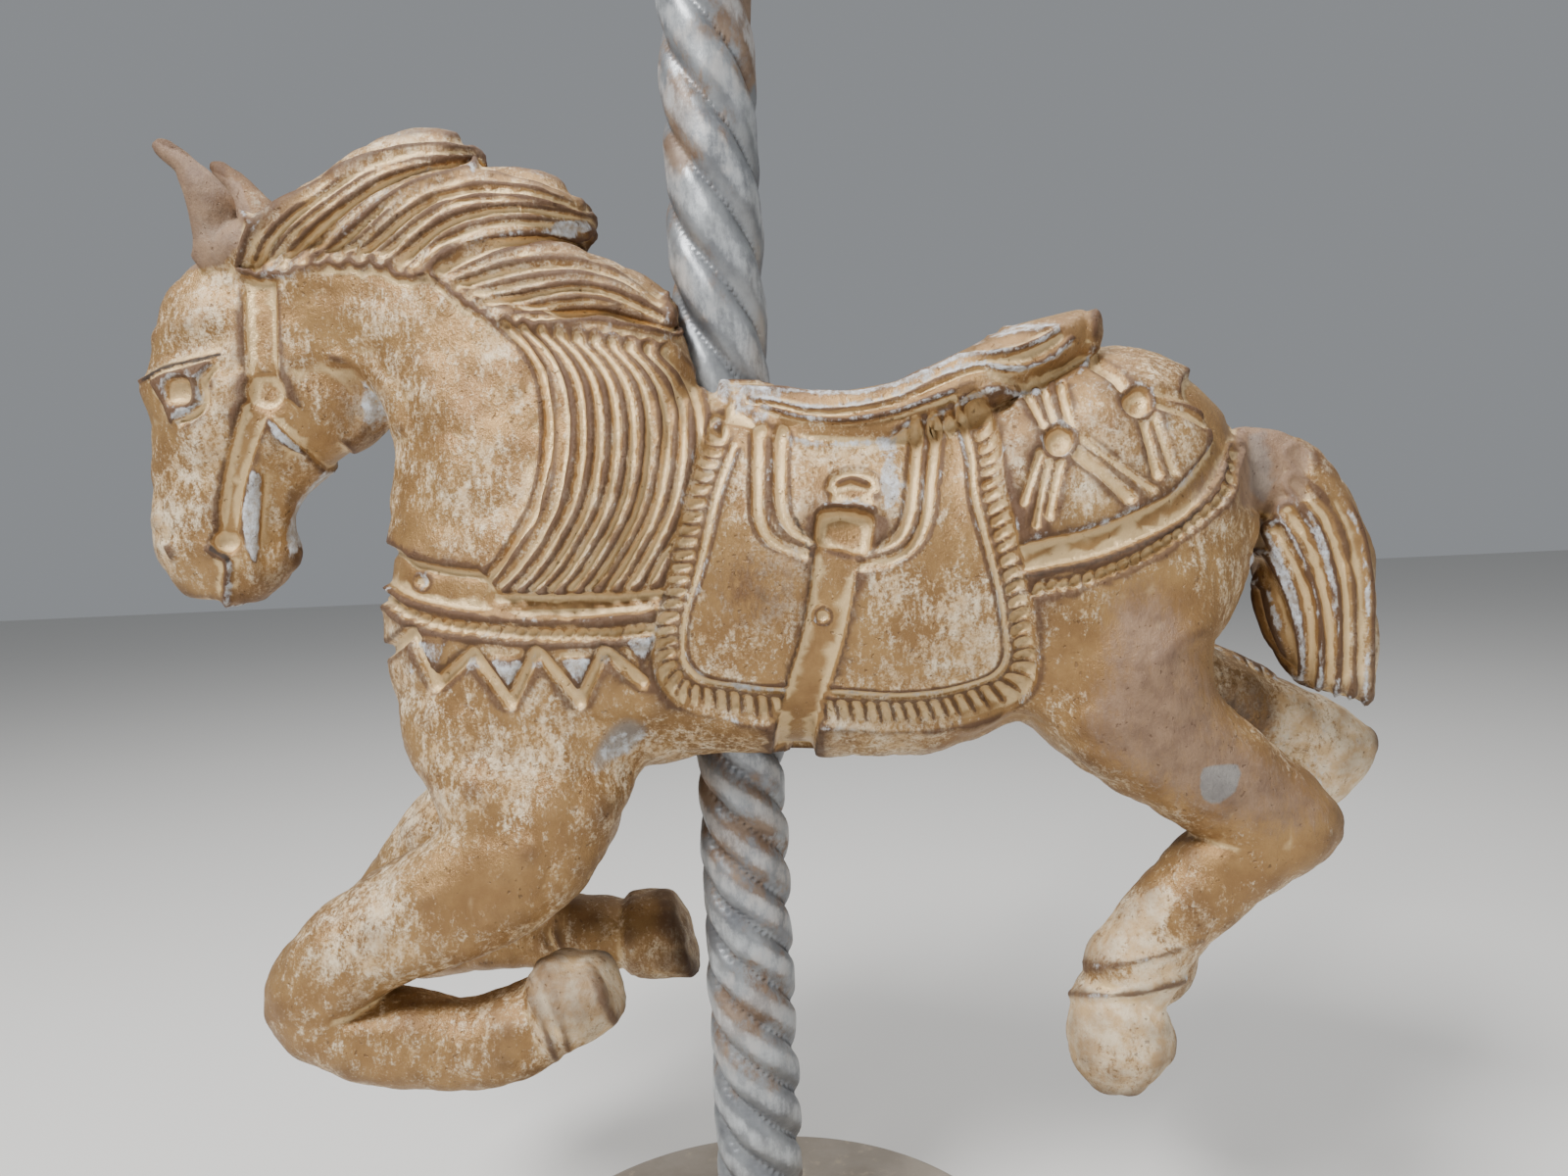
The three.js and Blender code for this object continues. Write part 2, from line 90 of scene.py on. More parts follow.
def blurred(layer: np.ndarray, reach: float) -> np.ndarray:
    """A layer softened by a bell of that many cells.

    Args:
        layer: A grid of numbers.
        reach: The bell's spread in cells.
    Returns:
        The softened grid.
    """
    size = max(int(3 * reach), 1)
    bell = np.exp(-0.5 * (np.arange(-size, size + 1) / reach) ** 2)
    bell /= bell.sum()
    for axis in (0, 1):
        padded = np.pad(layer, [(size, size) if k == axis else (0, 0) for k in (0, 1)], mode="edge")
        layer = sum(
            weight * np.take(padded, range(k, k + layer.shape[axis]), axis=axis)
            for k, weight in enumerate(bell)
        )
    return layer


# The sheet that the relief is drawn on
EYE_POINT = (13.6, -310.0, 224.6)
SHEET_LEFT, SHEET_RIGHT, SHEET_LOW, SHEET_HIGH = -165.0, 182.0, 66.0, 335.0
CELL = 0.25
# The surface layers; besides real dark marks, the dark one holds painted shade along creases and strap edges.
FINISHES = ("white", "brown", "mauve", "putty", "smooth", "dark")


@dataclass
class Sheet:
    """A drawing in the horse's middle plane, seen from the eye point, that gives the relief.

    Each layer is a grid over the sheet: height in millimetres, and shares from 0 to 1 of what lies
    on the wood, such as white ground left in the recesses, and painted shade in the dark layer.
    """

    layers: dict = field(default_factory=dict)

    def __post_init__(self) -> None:
        """Lays out the empty sheet."""
        self.xs = np.arange(SHEET_LEFT, SHEET_RIGHT, CELL, dtype=np.float32)
        self.zs = np.arange(SHEET_LOW, SHEET_HIGH, CELL, dtype=np.float32)
        for name in ("height", *FINISHES):
            self.layers[name] = self.blank()

    def blank(self) -> np.ndarray:
        """An empty layer."""
        return np.zeros((len(self.zs), len(self.xs)), np.float32)

    def track(self, points: list, reach: float, steps: int = 8) -> tuple:
        """Where each cell lies beside a line.

        Args:
            points: The line's corners, joined smoothly.
            reach: How far from the line cells are looked at.
            steps: Pieces to a span.
        Returns:
            Distance across, signed, distance along, and the line's length.
        """
        line = smooth_line(points, steps) if steps > 1 else np.asarray(points, float)
        best = self.blank() + 1e6
        across, along = self.blank() + 1e6, self.blank()
        start = 0.0
        for (ax, az), (bx, bz) in zip(line[:-1], line[1:]):
            length = math.hypot(bx - ax, bz - az)
            if length < 1e-6:
                continue
            i0, i1 = np.searchsorted(self.xs, (min(ax, bx) - reach, max(ax, bx) + reach))
            j0, j1 = np.searchsorted(self.zs, (min(az, bz) - reach, max(az, bz) + reach))
            x, z = np.meshgrid(self.xs[i0:i1] - ax, self.zs[j0:j1] - az)
            ux, uz = (bx - ax) / length, (bz - az) / length
            t = np.clip(x * ux + z * uz, 0, length)
            distance = np.hypot(x - t * ux, z - t * uz)
            window = (slice(j0, j1), slice(i0, i1))
            nearer = distance < best[window]
            best[window] = np.where(nearer, distance, best[window])
            side = np.where(x * uz - z * ux > 0, 1.0, -1.0)
            across[window] = np.where(nearer, distance * side, across[window])
            along[window] = np.where(nearer, start + t, along[window])
            start += length
        return across, along, start

    def band(self, points: list, half: float, end: float | None = None, soft: float = 1.0,
             steps: int = 8) -> np.ndarray:
        """The share of each cell that a band along a line covers, with soft edges."""
        across, along, total = self.track(points, max(half, end or 0) + soft + 1, steps)
        width = half + ((end if end is not None else half) - half) * along / max(total, 1e-6)
        return ramp((width + soft / 2 - np.abs(across)) / soft)

    def strand(self, points: list, half: float, tip: float | None = None, steps: int = 8) -> np.ndarray:
        """A round ridge along a line, 1 at its crest, that thins to its tip."""
        tip = half if tip is None else tip
        across, along, total = self.track(points, max(half, tip) + 0.5, steps)
        width = half + (tip - half) * along / max(total, 1e-6)
        return np.sqrt(np.clip(1 - (across / width) ** 2, 0, 1))

    def inside(self, outline: list, soft: float = 1.0, steps: int = 1) -> np.ndarray:
        """The share of each cell that a closed outline covers, with soft edges."""
        line = np.asarray(outline, float)
        if steps > 1:
            line = smooth_line([*outline, outline[0]], steps)[:-1]
        x, z = np.meshgrid(self.xs, self.zs)
        odd = np.zeros(x.shape, bool)
        for (ax, az), (bx, bz) in zip(line, np.roll(line, -1, axis=0)):
            crosses = (az > z) != (bz > z)
            odd ^= crosses & (x < (bx - ax) * (z - az) / ((bz - az) or 1e-9) + ax)
        across = self.track([*line.tolist(), line[0].tolist()], soft + 1, 1)[0]
        distance = np.where(odd, np.minimum(np.abs(across), 1e3), -np.minimum(np.abs(across), 1e3))
        return ramp(0.5 + distance / soft)

    def disc(self, centre: tuple, radius: float, squeeze: float = 1.0, soft: float = 1.0) -> np.ndarray:
        """The share of each cell that a disc covers, taller than wide by squeeze."""
        x, z = np.meshgrid(self.xs - centre[0], self.zs - centre[1])
        return ramp(0.5 + (radius - np.hypot(x, z / squeeze)) / soft)

    def dome(self, centre: tuple, radius: float, squeeze: float = 1.0) -> np.ndarray:
        """A round dome, 1 at its middle and 0 from its rim outwards."""
        x, z = np.meshgrid(self.xs - centre[0], self.zs - centre[1])
        return np.sqrt(np.clip(1 - (x**2 + (z / squeeze) ** 2) / radius**2, 0, 1))

    def lay(self, mask: np.ndarray, level: float) -> None:
        """Lays something on the sheet: where mask is 1 the height becomes level."""
        self.layers["height"] += mask * (level - self.layers["height"])

    def raise_by(self, amount: np.ndarray) -> None:
        """Adds to the height."""
        self.layers["height"] += amount

    def mark(self, name: str, mask: np.ndarray, share: float = 1.0) -> None:
        """Puts a share of a finish where mask is 1, over what is there."""
        layer = self.layers[name]
        layer += mask * (share - layer)

    def beads(self, points: list, half: float, pitch: float, rise: float, slant: float,
              seed: int) -> None:
        """A row of carved pads along a line, with white ground left between them.

        Args:
            points: The row's middle line.
            half: Half the row's width.
            pitch: Distance between pads.
            rise: Height of a pad over the grooves.
            slant: How far a pad leans along the row per unit across it.
            seed: Start of the small differences between pads.
        """
        across, along, total = self.track(points, half + 1.5)
        rng = np.random.default_rng(seed)
        marks = np.cumsum(rng.uniform(0.86, 1.14, int(total / pitch) + 3)) * pitch - pitch
        count = np.interp(along + slant * across, marks, np.arange(len(marks)))
        place = 2 * (count % 1) - 1
        lift = rng.uniform(0.75, 1.1, len(marks) + 1)[count.astype(int)]
        cross = np.clip(1 - np.abs(across / half) ** 3, 0, 1)
        pad = lift * np.clip(1 - np.abs(place) ** 5, 0, 1) * cross
        covered = ramp((half + 0.5 - np.abs(across)) / 1.0)
        self.raise_by((rise * pad - rise * 0.8) * covered)
        self.mark("white", covered * ramp((np.abs(place) - 0.75) / 0.2), 0.5)
        self.mark("brown", covered * ramp((np.abs(place) - 0.8) / 0.2), 0.7)

    def paint(self, mask: np.ndarray, **shares: float) -> None:
        """Puts shares of several finishes where mask is 1, over what is there."""
        for name, share in shares.items():
            self.mark(name, mask, share)

    def line_in(self, name: str, gap: np.ndarray, share: float, gain: float = 1.4,
                start: float = 0.3) -> None:
        """Colours a thin line.

        Args:
            name: The finish.
            gap: The line, 1 along its middle.
            share: How much of the finish.
            gain: How sharply the colour ends beside the line.
            start: How much of the line's edge stays bare.
        """
        self.mark(name, ramp(gap * gain - start), share)

    def read(self, points: np.ndarray, names: tuple) -> np.ndarray:
        """The layers' values at points of the horse, the far flank as the near one's mirror image.

        Args:
            points: Rows of x, y and z.
            names: The layers to read.
        Returns:
            One column to a layer.
        """
        depth = -np.abs(points[:, 1])
        spread = -EYE_POINT[1] / (-EYE_POINT[1] + depth)
        u = (EYE_POINT[0] + (points[:, 0] - EYE_POINT[0]) * spread - SHEET_LEFT) / CELL
        v = (EYE_POINT[2] + (points[:, 2] - EYE_POINT[2]) * spread - SHEET_LOW) / CELL
        u = np.clip(u, 0, len(self.xs) - 1.001)
        v = np.clip(v, 0, len(self.zs) - 1.001)
        i, j = u.astype(int), v.astype(int)
        fu, fv = u - i, v - j
        columns = []
        for name in names:
            layer = self.layers[name]
            low = layer[j, i] * (1 - fu) + layer[j, i + 1] * fu
            high = layer[j + 1, i] * (1 - fu) + layer[j + 1, i + 1] * fu
            columns.append(low * (1 - fv) + high * fv)
        return np.stack(columns, axis=1)


# Carved forms
END_TURNS = (28, 52, 72, 86)


def tube(count: int, around: int) -> tuple:
    """The faces of a closed tube.

    Args:
        count: How many rings it has.
        around: How many points a ring has.
    Returns:
        Quads between the rings, and the triangles that join the first and the last ring to the two
        points that come after all rings.
    """
    i = np.arange(around)
    j = (i + 1) % around
    starts = np.arange(count - 1)[:, None] * around
    quads = np.stack([starts + i, starts + j, starts + around + j, starts + around + i], axis=-1)
    middle, end = count * around, (count - 1) * around
    fans = np.vstack([
        np.stack([np.full(around, middle), j, i], axis=1),
        np.stack([np.full(around, middle + 1), end + i, end + j], axis=1),
    ])
    return quads.reshape(-1, 4), fans


def halved(quads: np.ndarray, fans: np.ndarray) -> np.ndarray:
    """A tube's faces as triangles only."""
    return np.vstack([quads[:, [0, 1, 2]], quads[:, [0, 2, 3]], fans])


@dataclass(frozen=True)
class Ladder:
    """A carved form as rungs seen from the side, each with a rounded section.

    A rung runs from one edge of the silhouette to the other: x, z, x, z, half width, middle's y.
    """

    rungs: tuple
    fullness: float = 2.2
    cap: float = 1.5
    around: int = 48
    steps: int = 7

    def rings(self) -> np.ndarray:
        """The form's sections, each a ring of points, with rounded ends."""
        rows = np.array([rung if len(rung) == 6 else (*rung, 0.0) for rung in self.rungs], float)
        fine = smooth_line(rows, self.steps)
        angle = np.linspace(0, 2 * math.pi, self.around, endpoint=False)
        across, out = (
            np.sign(wave) * np.abs(wave) ** (2 / self.fullness) for wave in (np.cos(angle), np.sin(angle))
        )

        def ring(row: np.ndarray, share: float = 1.0, shift: tuple = (0.0, 0.0)) -> np.ndarray:
            """The section at a rung, made smaller by share and moved by shift."""
            x1, z1, x2, z2, half, y = row
            return np.stack([
                (x1 + x2) / 2 + shift[0] + share * across * (x1 - x2) / 2,
                y + share * out * half,
                (z1 + z2) / 2 + shift[1] + share * across * (z1 - z2) / 2,
            ], axis=1)

        def end(row: np.ndarray, inner: np.ndarray) -> list:
            """The rings that round off the end at row, from its rim to its tip."""
            middle = (row[:2] + row[2:4]) / 2
            away = middle - (inner[:2] + inner[2:4]) / 2
            away /= np.linalg.norm(away)
            turns = np.radians(END_TURNS)
            return [ring(row, math.cos(t), tuple(away * self.cap * math.sin(t))) for t in turns]

        body = [ring(row) for row in fine]
        first, last = end(fine[0], fine[1])[::-1], end(fine[-1], fine[-2])
        return np.array(first + body + last)

    def skin(self) -> tuple:
        """Points, triangles and quads of the closed form."""
        rings = self.rings()
        points = np.vstack([rings.reshape(-1, 3), rings[0].mean(axis=0), rings[-1].mean(axis=0)])
        quads, fans = tube(*rings.shape[:2])
        return points, fans, quads


VOXEL = 0.75
BAND_CELLS = 12
GRID_LOW = (-158.0, -48.0, 68.0)
GRID_HIGH = (178.0, 48.0, 334.0)
BORE_RADIUS = 13.0


class Block:
    """The block that the horse is carved from, as distances to its surface on a grid."""

    def __init__(self) -> None:
        """Starts with nothing in the block."""
        self.start = tuple(int(value / VOXEL) for value in GRID_LOW)
        self.shape = tuple(int((b - a) / VOXEL) for a, b in zip(GRID_LOW, GRID_HIGH))
        self.distance = np.full(self.shape, BAND_CELLS * VOXEL, np.float32)

    def add(self, form: Ladder, blend: float) -> None:
        """Joins a form to the block.

        Args:
            form: The form.
            blend: How far the join's fillet reaches.
        """
        points, triangles, quads = form.skin()
        level = openvdb.FloatGrid.createLevelSetFromPolygons(
            points.astype(np.float32), triangles.astype(np.uint32), quads.astype(np.uint32),
            openvdb.createLinearTransform(voxelSize=VOXEL), float(BAND_CELLS),
        )
        other = np.empty(self.shape, np.float32)
        level.copyToArray(other, ijk=self.start)
        share = np.clip(blend - np.abs(self.distance - other), 0, None) / blend
        self.distance = np.minimum(self.distance, other) - share**2 * blend / 4

    def bore(self, radius: float) -> None:
        """Cuts the pole's bore right through."""
        x = (np.arange(self.shape[0]) + self.start[0]) * VOXEL
        y = (np.arange(self.shape[1]) + self.start[1]) * VOXEL
        gap = radius - np.hypot(x[:, None], y[None, :])
        self.distance = np.maximum(self.distance, gap[:, :, None].astype(np.float32))

    def surface(self) -> tuple:
        """Points and quads of the block's surface, facing outwards."""
        level = openvdb.FloatGrid(BAND_CELLS * VOXEL)
        level.transform = openvdb.createLinearTransform(voxelSize=VOXEL)
        level.copyFromArray(self.distance, ijk=self.start)
        points, quads = level.convertToQuads(0.0)
        points, quads = points.astype(float), quads.astype(np.int64)
        a, b, c, d = (points[quads[:, k]] for k in range(4))
        if np.einsum("ij,ij->", a, np.cross(b - d, c - a)) > 0:
            quads = quads[:, ::-1]
        return points, quads


SMOOTH_STEPS = (0.55, -0.57)


class Skin:
    """A mesh of quads that is smoothed and raised as arrays of numbers."""

    def __init__(self, points: np.ndarray, quads: np.ndarray) -> None:
        """Keeps the mesh and finds its edges."""
        self.points, self.quads = points, quads
        edges = np.concatenate([quads[:, [k, (k + 1) % 4]] for k in range(4)])
        self.edges = np.unique(np.sort(edges, axis=1), axis=0)
        self.count = np.bincount(self.edges.ravel(), minlength=len(points))[:, None]

    def around(self, values: np.ndarray) -> np.ndarray:
        """The mean of each point's neighbours."""
        a, b = self.edges.T
        total = np.zeros_like(values)
        for k in range(values.shape[1]):
            for here, there in ((a, b), (b, a)):
                total[:, k] += np.bincount(here, values[there, k], len(values))
        return total / np.maximum(self.count, 1)

    def smooth(self, rounds: int, share: np.ndarray | float = 1.0) -> None:
        """Smooths the mesh without shrinking it.

        Args:
            rounds: How many times.
            share: How much each point takes part.
        """
        for _ in range(rounds):
            for step in SMOOTH_STEPS:
                self.points = self.points + step * share * (self.around(self.points) - self.points)

    def normals(self) -> np.ndarray:
        """Each point's direction outwards."""
        a, b, c, d = (self.points[self.quads[:, k]] for k in range(4))
        face = np.cross(c - a, d - b)
        total = np.zeros_like(self.points)
        for k in range(4):
            for axis in range(3):
                total[:, axis] += np.bincount(self.quads[:, k], face[:, axis], len(self.points))
        return total / np.maximum(np.linalg.norm(total, axis=1, keepdims=True), 1e-12)


HASH_STEPS = np.array([73856093, 19349663, 83492791])
HASH_SEED, HASH_TURN, HASH_GAIN, HASH_LIMIT = 7919, 1.37, 43758.5453, 100003
DISH_REACH = 0.62


def scattered(cube: np.ndarray, seed: int) -> np.ndarray:
    """Three numbers from 0 to 1 for each cube of a grid, the same each time.

    Args:
        cube: Rows of the cubes' whole numbers.
        seed: Start of the numbers.
    Returns:
        One row to a cube.
    """
    mixed = (cube * HASH_STEPS).sum(axis=1) + seed * HASH_SEED
    return np.stack([
        np.modf(np.abs(np.sin(mixed % HASH_LIMIT * (k + HASH_TURN)) * HASH_GAIN))[0] for k in range(3)
    ], axis=1)


def hollows(points: np.ndarray, cell: float, seed: int, depth: float) -> np.ndarray:
    """Shallow dished cuts with soft ridges between them, as a gouge leaves.

    Args:
        points: Rows of x, y and z.
        cell: A cut's width.
        seed: Start of the cuts' places.
        depth: The deepest cut.
    Returns:
        The height at each point, from -depth to 0.
    """
    base = np.floor(points / cell).astype(np.int64)
    nearest = np.full(len(points), 1e9)
    for offset in np.ndindex(3, 3, 3):
        cube = base + np.array(offset) - 1
        centre = (cube + scattered(cube, seed)) * cell
        nearest = np.minimum(nearest, ((points - centre) ** 2).sum(axis=1))
    return -depth * np.clip(1 - nearest / (DISH_REACH * cell) ** 2, 0, 1)


def new_object(name: str, points: np.ndarray, faces: np.ndarray) -> bpy.types.Object:
    """A mesh object from points in millimetres and faces of equal size.

    Args:
        name: The object's name.
        points: Rows of x, y and z.
        faces: Rows of point numbers.
    Returns:
        The object, linked and smooth shaded.
    """
    mesh = bpy.data.meshes.new(name)
    corners = faces.shape[1]
    mesh.vertices.add(len(points))
    mesh.vertices.foreach_set("co", (points * METRES).astype(np.float32).ravel())
    mesh.loops.add(faces.size)
    mesh.loops.foreach_set("vertex_index", faces.astype(np.int32).ravel())
    mesh.polygons.add(len(faces))
    mesh.polygons.foreach_set("loop_start", np.arange(0, faces.size, corners, dtype=np.int32))
    mesh.polygons.foreach_set("loop_total", np.full(len(faces), corners, np.int32))
    mesh.update(calc_edges=True)
    mesh.validate()
    mesh.shade_smooth()
    piece = bpy.data.objects.new(name, mesh)
    bpy.context.scene.collection.objects.link(piece)
    return piece


def activate(piece: bpy.types.Object) -> None:
    """Makes a piece the only selected and active one."""
    bpy.ops.object.select_all(action="DESELECT")
    piece.select_set(True)
    bpy.context.view_layer.objects.active = piece


SHARE_LIMIT = 4


def set_share(mesh: bpy.types.Mesh, name: str, values: np.ndarray) -> None:
    """Stores a number at each point of a mesh for its material to read."""
    layer = mesh.attributes.new(name, "FLOAT", "POINT")
    layer.data.foreach_set("value", np.clip(values, -SHARE_LIMIT, SHARE_LIMIT).astype(np.float32))


# The horse's forms, as in the CAD part
TRUNK = Ladder((
    (-88, 200, -83.5, 168, 9), (-85, 210, -79.5, 158, 21), (-75, 221, -69, 154, 29), (-55, 235, -49, 154, 34),
    (-33, 247, -29, 158.5, 36.5), (-9, 256, -7, 161, 38), (24, 248, 24, 159.6, 38.8),
    (56, 249, 53, 160, 38.6),
    (78, 257, 70, 166, 38), (98, 261, 86, 167, 36.5), (113, 258, 101, 170, 33.5), (125, 249, 116, 178, 27),
    (133, 238, 128, 192, 17), (136.5, 226, 134, 205, 8),
), fullness=2.4, around=96)
NECK = Ladder((
    (-143, 209.5, -124, 207, 6.5), (-148.3, 217, -114.5, 215, 9.5), (-149.7, 225, -115, 224, 10.5),
    (-149, 234, -113, 231, 10.5), (-147.6, 244, -103, 239.5, 12.5), (-147.4, 254, -92, 246.5, 15),
    (-149.6, 265, -87, 251, 15.5), (-146, 275, -84.5, 252, 15), (-139, 288, -83.5, 252.5, 14),
    (-124, 299, -83, 252.5, 13.5), (-103, 305, -83, 251, 14.5), (-80, 307, -84, 245, 17),
    (-58, 300, -84.5, 235, 20.5), (-38, 287, -86.5, 223, 24.5), (-22, 270, -88.5, 210, 28.5),
    (-12, 252, -87.5, 196, 30.5), (-8, 232, -83, 184, 29.5),
), around=96)
FORELEG_NEAR = Ladder((
    (-80, 178, -32, 176, 13, -17), (-78, 164, -27, 158, 16, -20), (-73.2, 150, -30, 149, 16.5, -22),
    (-84, 142, -35, 139, 16, -23), (-97, 135, -45.5, 127.5, 15, -24), (-108.6, 126, -60, 119.5, 14, -25),
    (-116, 116, -78, 114.5, 13, -25), (-117.5, 106, -92, 108, 12.5, -25), (-112.7, 98, -92.5, 107, 12, -25),
    (-103.7, 91.2, -90, 108, 11.5, -25), (-91, 86.4, -83, 107.4, 11, -25), (-70, 84.4, -69, 104.8, 10, -25),
    (-57, 86, -58.5, 107.8, 10.6, -25), (-50, 89.8, -53.5, 109.3, 9.6, -25),
    (-46, 92, -51.5, 113.5, 11.4, -25),
    (-38, 96, -46.6, 116.3, 12.4, -25), (-31.6, 101, -37, 114, 10.5, -25),
), fullness=2.3)
FORELEG_FAR = Ladder((
    (-80, 178, -32, 176, 13, 17), (-80, 164, -28, 158, 16, 20), (-89, 150, -34, 147, 16.5, 22),
    (-99, 138.5, -47, 133, 16, 23), (-108.5, 126, -63, 122, 15, 24), (-115.5, 115, -80, 118, 14, 25),
    (-117, 105, -93, 113, 13, 25), (-111, 97, -92, 112, 12, 25), (-100, 94, -88, 113.5, 11, 25),
    (-84, 95, -81, 114.5, 10.5, 25), (-56, 95, -56, 114, 10, 25), (-43, 92, -43, 113, 10.6, 25),
    (-37.5, 94, -37.5, 111.5, 9.4, 25), (-34, 92.2, -34, 113.4, 11.4, 25), (-24, 91.3, -24.5, 114, 12.4, 25),
    (-17.8, 91, -20, 108, 11.5, 25),
), fullness=2.3)
HIND_PROFILE = (
    (74, 204, 124, 218, 14, 15), (73, 184, 122, 200, 18, 18), (76, 168, 116, 187, 19, 20),
    (83, 160, 117.5, 175, 18, 21), (92, 153, 122.5, 168.5, 16, 22), (103, 146.5, 130, 160.5, 13.5, 23),
    (112, 141, 139, 152.5, 11.5, 23), (113, 138, 147.8, 141, 10.5, 23), (110, 136, 144.5, 133.6, 10, 23),
    (106, 132.5, 134.5, 127.2, 9.6, 23), (99.5, 125, 123.5, 120.6, 9.4, 23), (91, 116.3, 114, 112, 9, 23),
    (86.4, 108.5, 107.4, 104, 9.6, 23), (86.3, 104, 103.4, 96.4, 9, 23), (82.4, 98, 104.5, 91, 11, 23),
    (80.8, 86, 104.4, 85, 12, 23), (85, 78.6, 97, 78.6, 9, 23),
)
HOCK_RUNG = 7
CANNON_RUNGS = 3
FAR_HOCK_BACK, FAR_HOCK_UP, FAR_CANNON_BACK, FAR_HOOF_FORWARD, FAR_LEG_DROP = 31, 11, 5, 3.4, 1.6


def far_hind_rung(number: int, rung: tuple) -> tuple:
    """The far hind leg's rung: it reaches further back and comes forward below the cannon."""
    x1, z1, x2, z2, half, y = rung
    share = min(number / HOCK_RUNG, 1)
    below = max(number - HOCK_RUNG, 0)
    back = FAR_HOCK_BACK * share + FAR_CANNON_BACK * min(below / CANNON_RUNGS, 1)
    back -= FAR_HOOF_FORWARD * max(below - CANNON_RUNGS, 0)
    up = FAR_HOCK_UP * share - FAR_LEG_DROP * below
    return (x1 + back, z1 + up, x2 + back, z2 + up, half, Side.FAR.value * y)


HIND_NEAR = Ladder(tuple((*rung[:5], Side.NEAR.value * rung[5]) for rung in HIND_PROFILE), fullness=2.3)
HIND_FAR = Ladder(tuple(far_hind_rung(i, rung) for i, rung in enumerate(HIND_PROFILE)), fullness=2.3)
TAIL = Ladder((
    (122, 246, 127, 224, 7), (134, 241, 136, 217.5, 7.6), (144.5, 238.5, 140.5, 216, 8.4),
    (157, 228, 139.6, 209, 9.6), (165.6, 213, 139, 202, 10.4), (167.8, 198, 140, 193, 11),
    (168, 182, 144, 181.5, 10.6), (167, 166.5, 150, 173, 9),
), fullness=2.4, cap=0.8)
SADDLE = Ladder((
    (0, 258.5, 0, 240, 19), (12, 256.4, 11, 237, 26), (26, 254, 26, 235, 29.5), (41, 255.2, 42, 236, 30.5),
    (56, 260.7, 58, 240, 30.5), (72, 267.6, 73, 246, 29), (84, 270.6, 86, 252, 26),
    (91.5, 271.6, 93, 258, 20),
    (95.6, 267.5, 95.8, 261, 10),
), fullness=2.6, around=72)
MANE_FORMS = (
    Ladder((
        (-133, 296, -125, 287, 10), (-120, 303, -116, 288, 14.5), (-105, 310.2, -103, 291, 16),
        (-90, 318.2, -90, 293, 17), (-76, 322.5, -76, 298, 16), (-66, 322, -66, 304, 13.5),
        (-60.5, 319, -61, 313.5, 8),
    ), cap=0.8),
    Ladder((
        (-92, 311, -98, 288, 15), (-76, 314, -82, 285, 17.5), (-60, 314, -66, 281, 18.5),
        (-48, 312.5, -52, 284, 18), (-39, 309, -43, 290, 15.5), (-32, 302, -34, 297, 9),
    ), cap=0.8),
    Ladder((
        (-66, 297, -76, 279, 18.5), (-48, 297, -58, 270, 20.5), (-32, 292, -44, 266, 22),
        (-20, 285, -30, 265, 21), (-10, 276, -14, 264, 18.5),
    ), cap=0.8),
)
SHOULDER_LOCKS = Ladder((
    (-60, 276, -8, 268, 24), (-47, 264, -6, 256, 29.5), (-42.5, 246, -8, 239, 35),
    (-47, 228, -14, 220, 38.5), (-56, 215, -20, 208, 38.5), (-64, 204, -26, 201, 36),
), fullness=3, cap=0.8, around=72)


EAR_SPREAD = 8.5


def ear(x: float, z: float, lean: float, side: Side) -> Ladder:
    """An ear whose tip leans forward.

    Args:
        x: The root's place along the horse.
        z: The root's height.
        lean: How far the tip stands back, forward if below zero.
        side: The flank that the ear is on.
    Returns:
        The ear's form.
    """
    y = side.value * EAR_SPREAD
    return Ladder((
        (x - 5, z - 2, x + 5.5, z + 1, 3.4, y), (x - 4.4, z + 9, x + 6, z + 11, 4, y * 1.1),
        (x - 6 + lean * 0.4, z + 17, x + 0.6 + lean * 0.4, z + 18.5, 3.2, y * 1.2),
        (x - 10 + lean, z + 23.6, x - 6.5 + lean, z + 24.4, 1.3, y * 1.3),
    ), fullness=2)


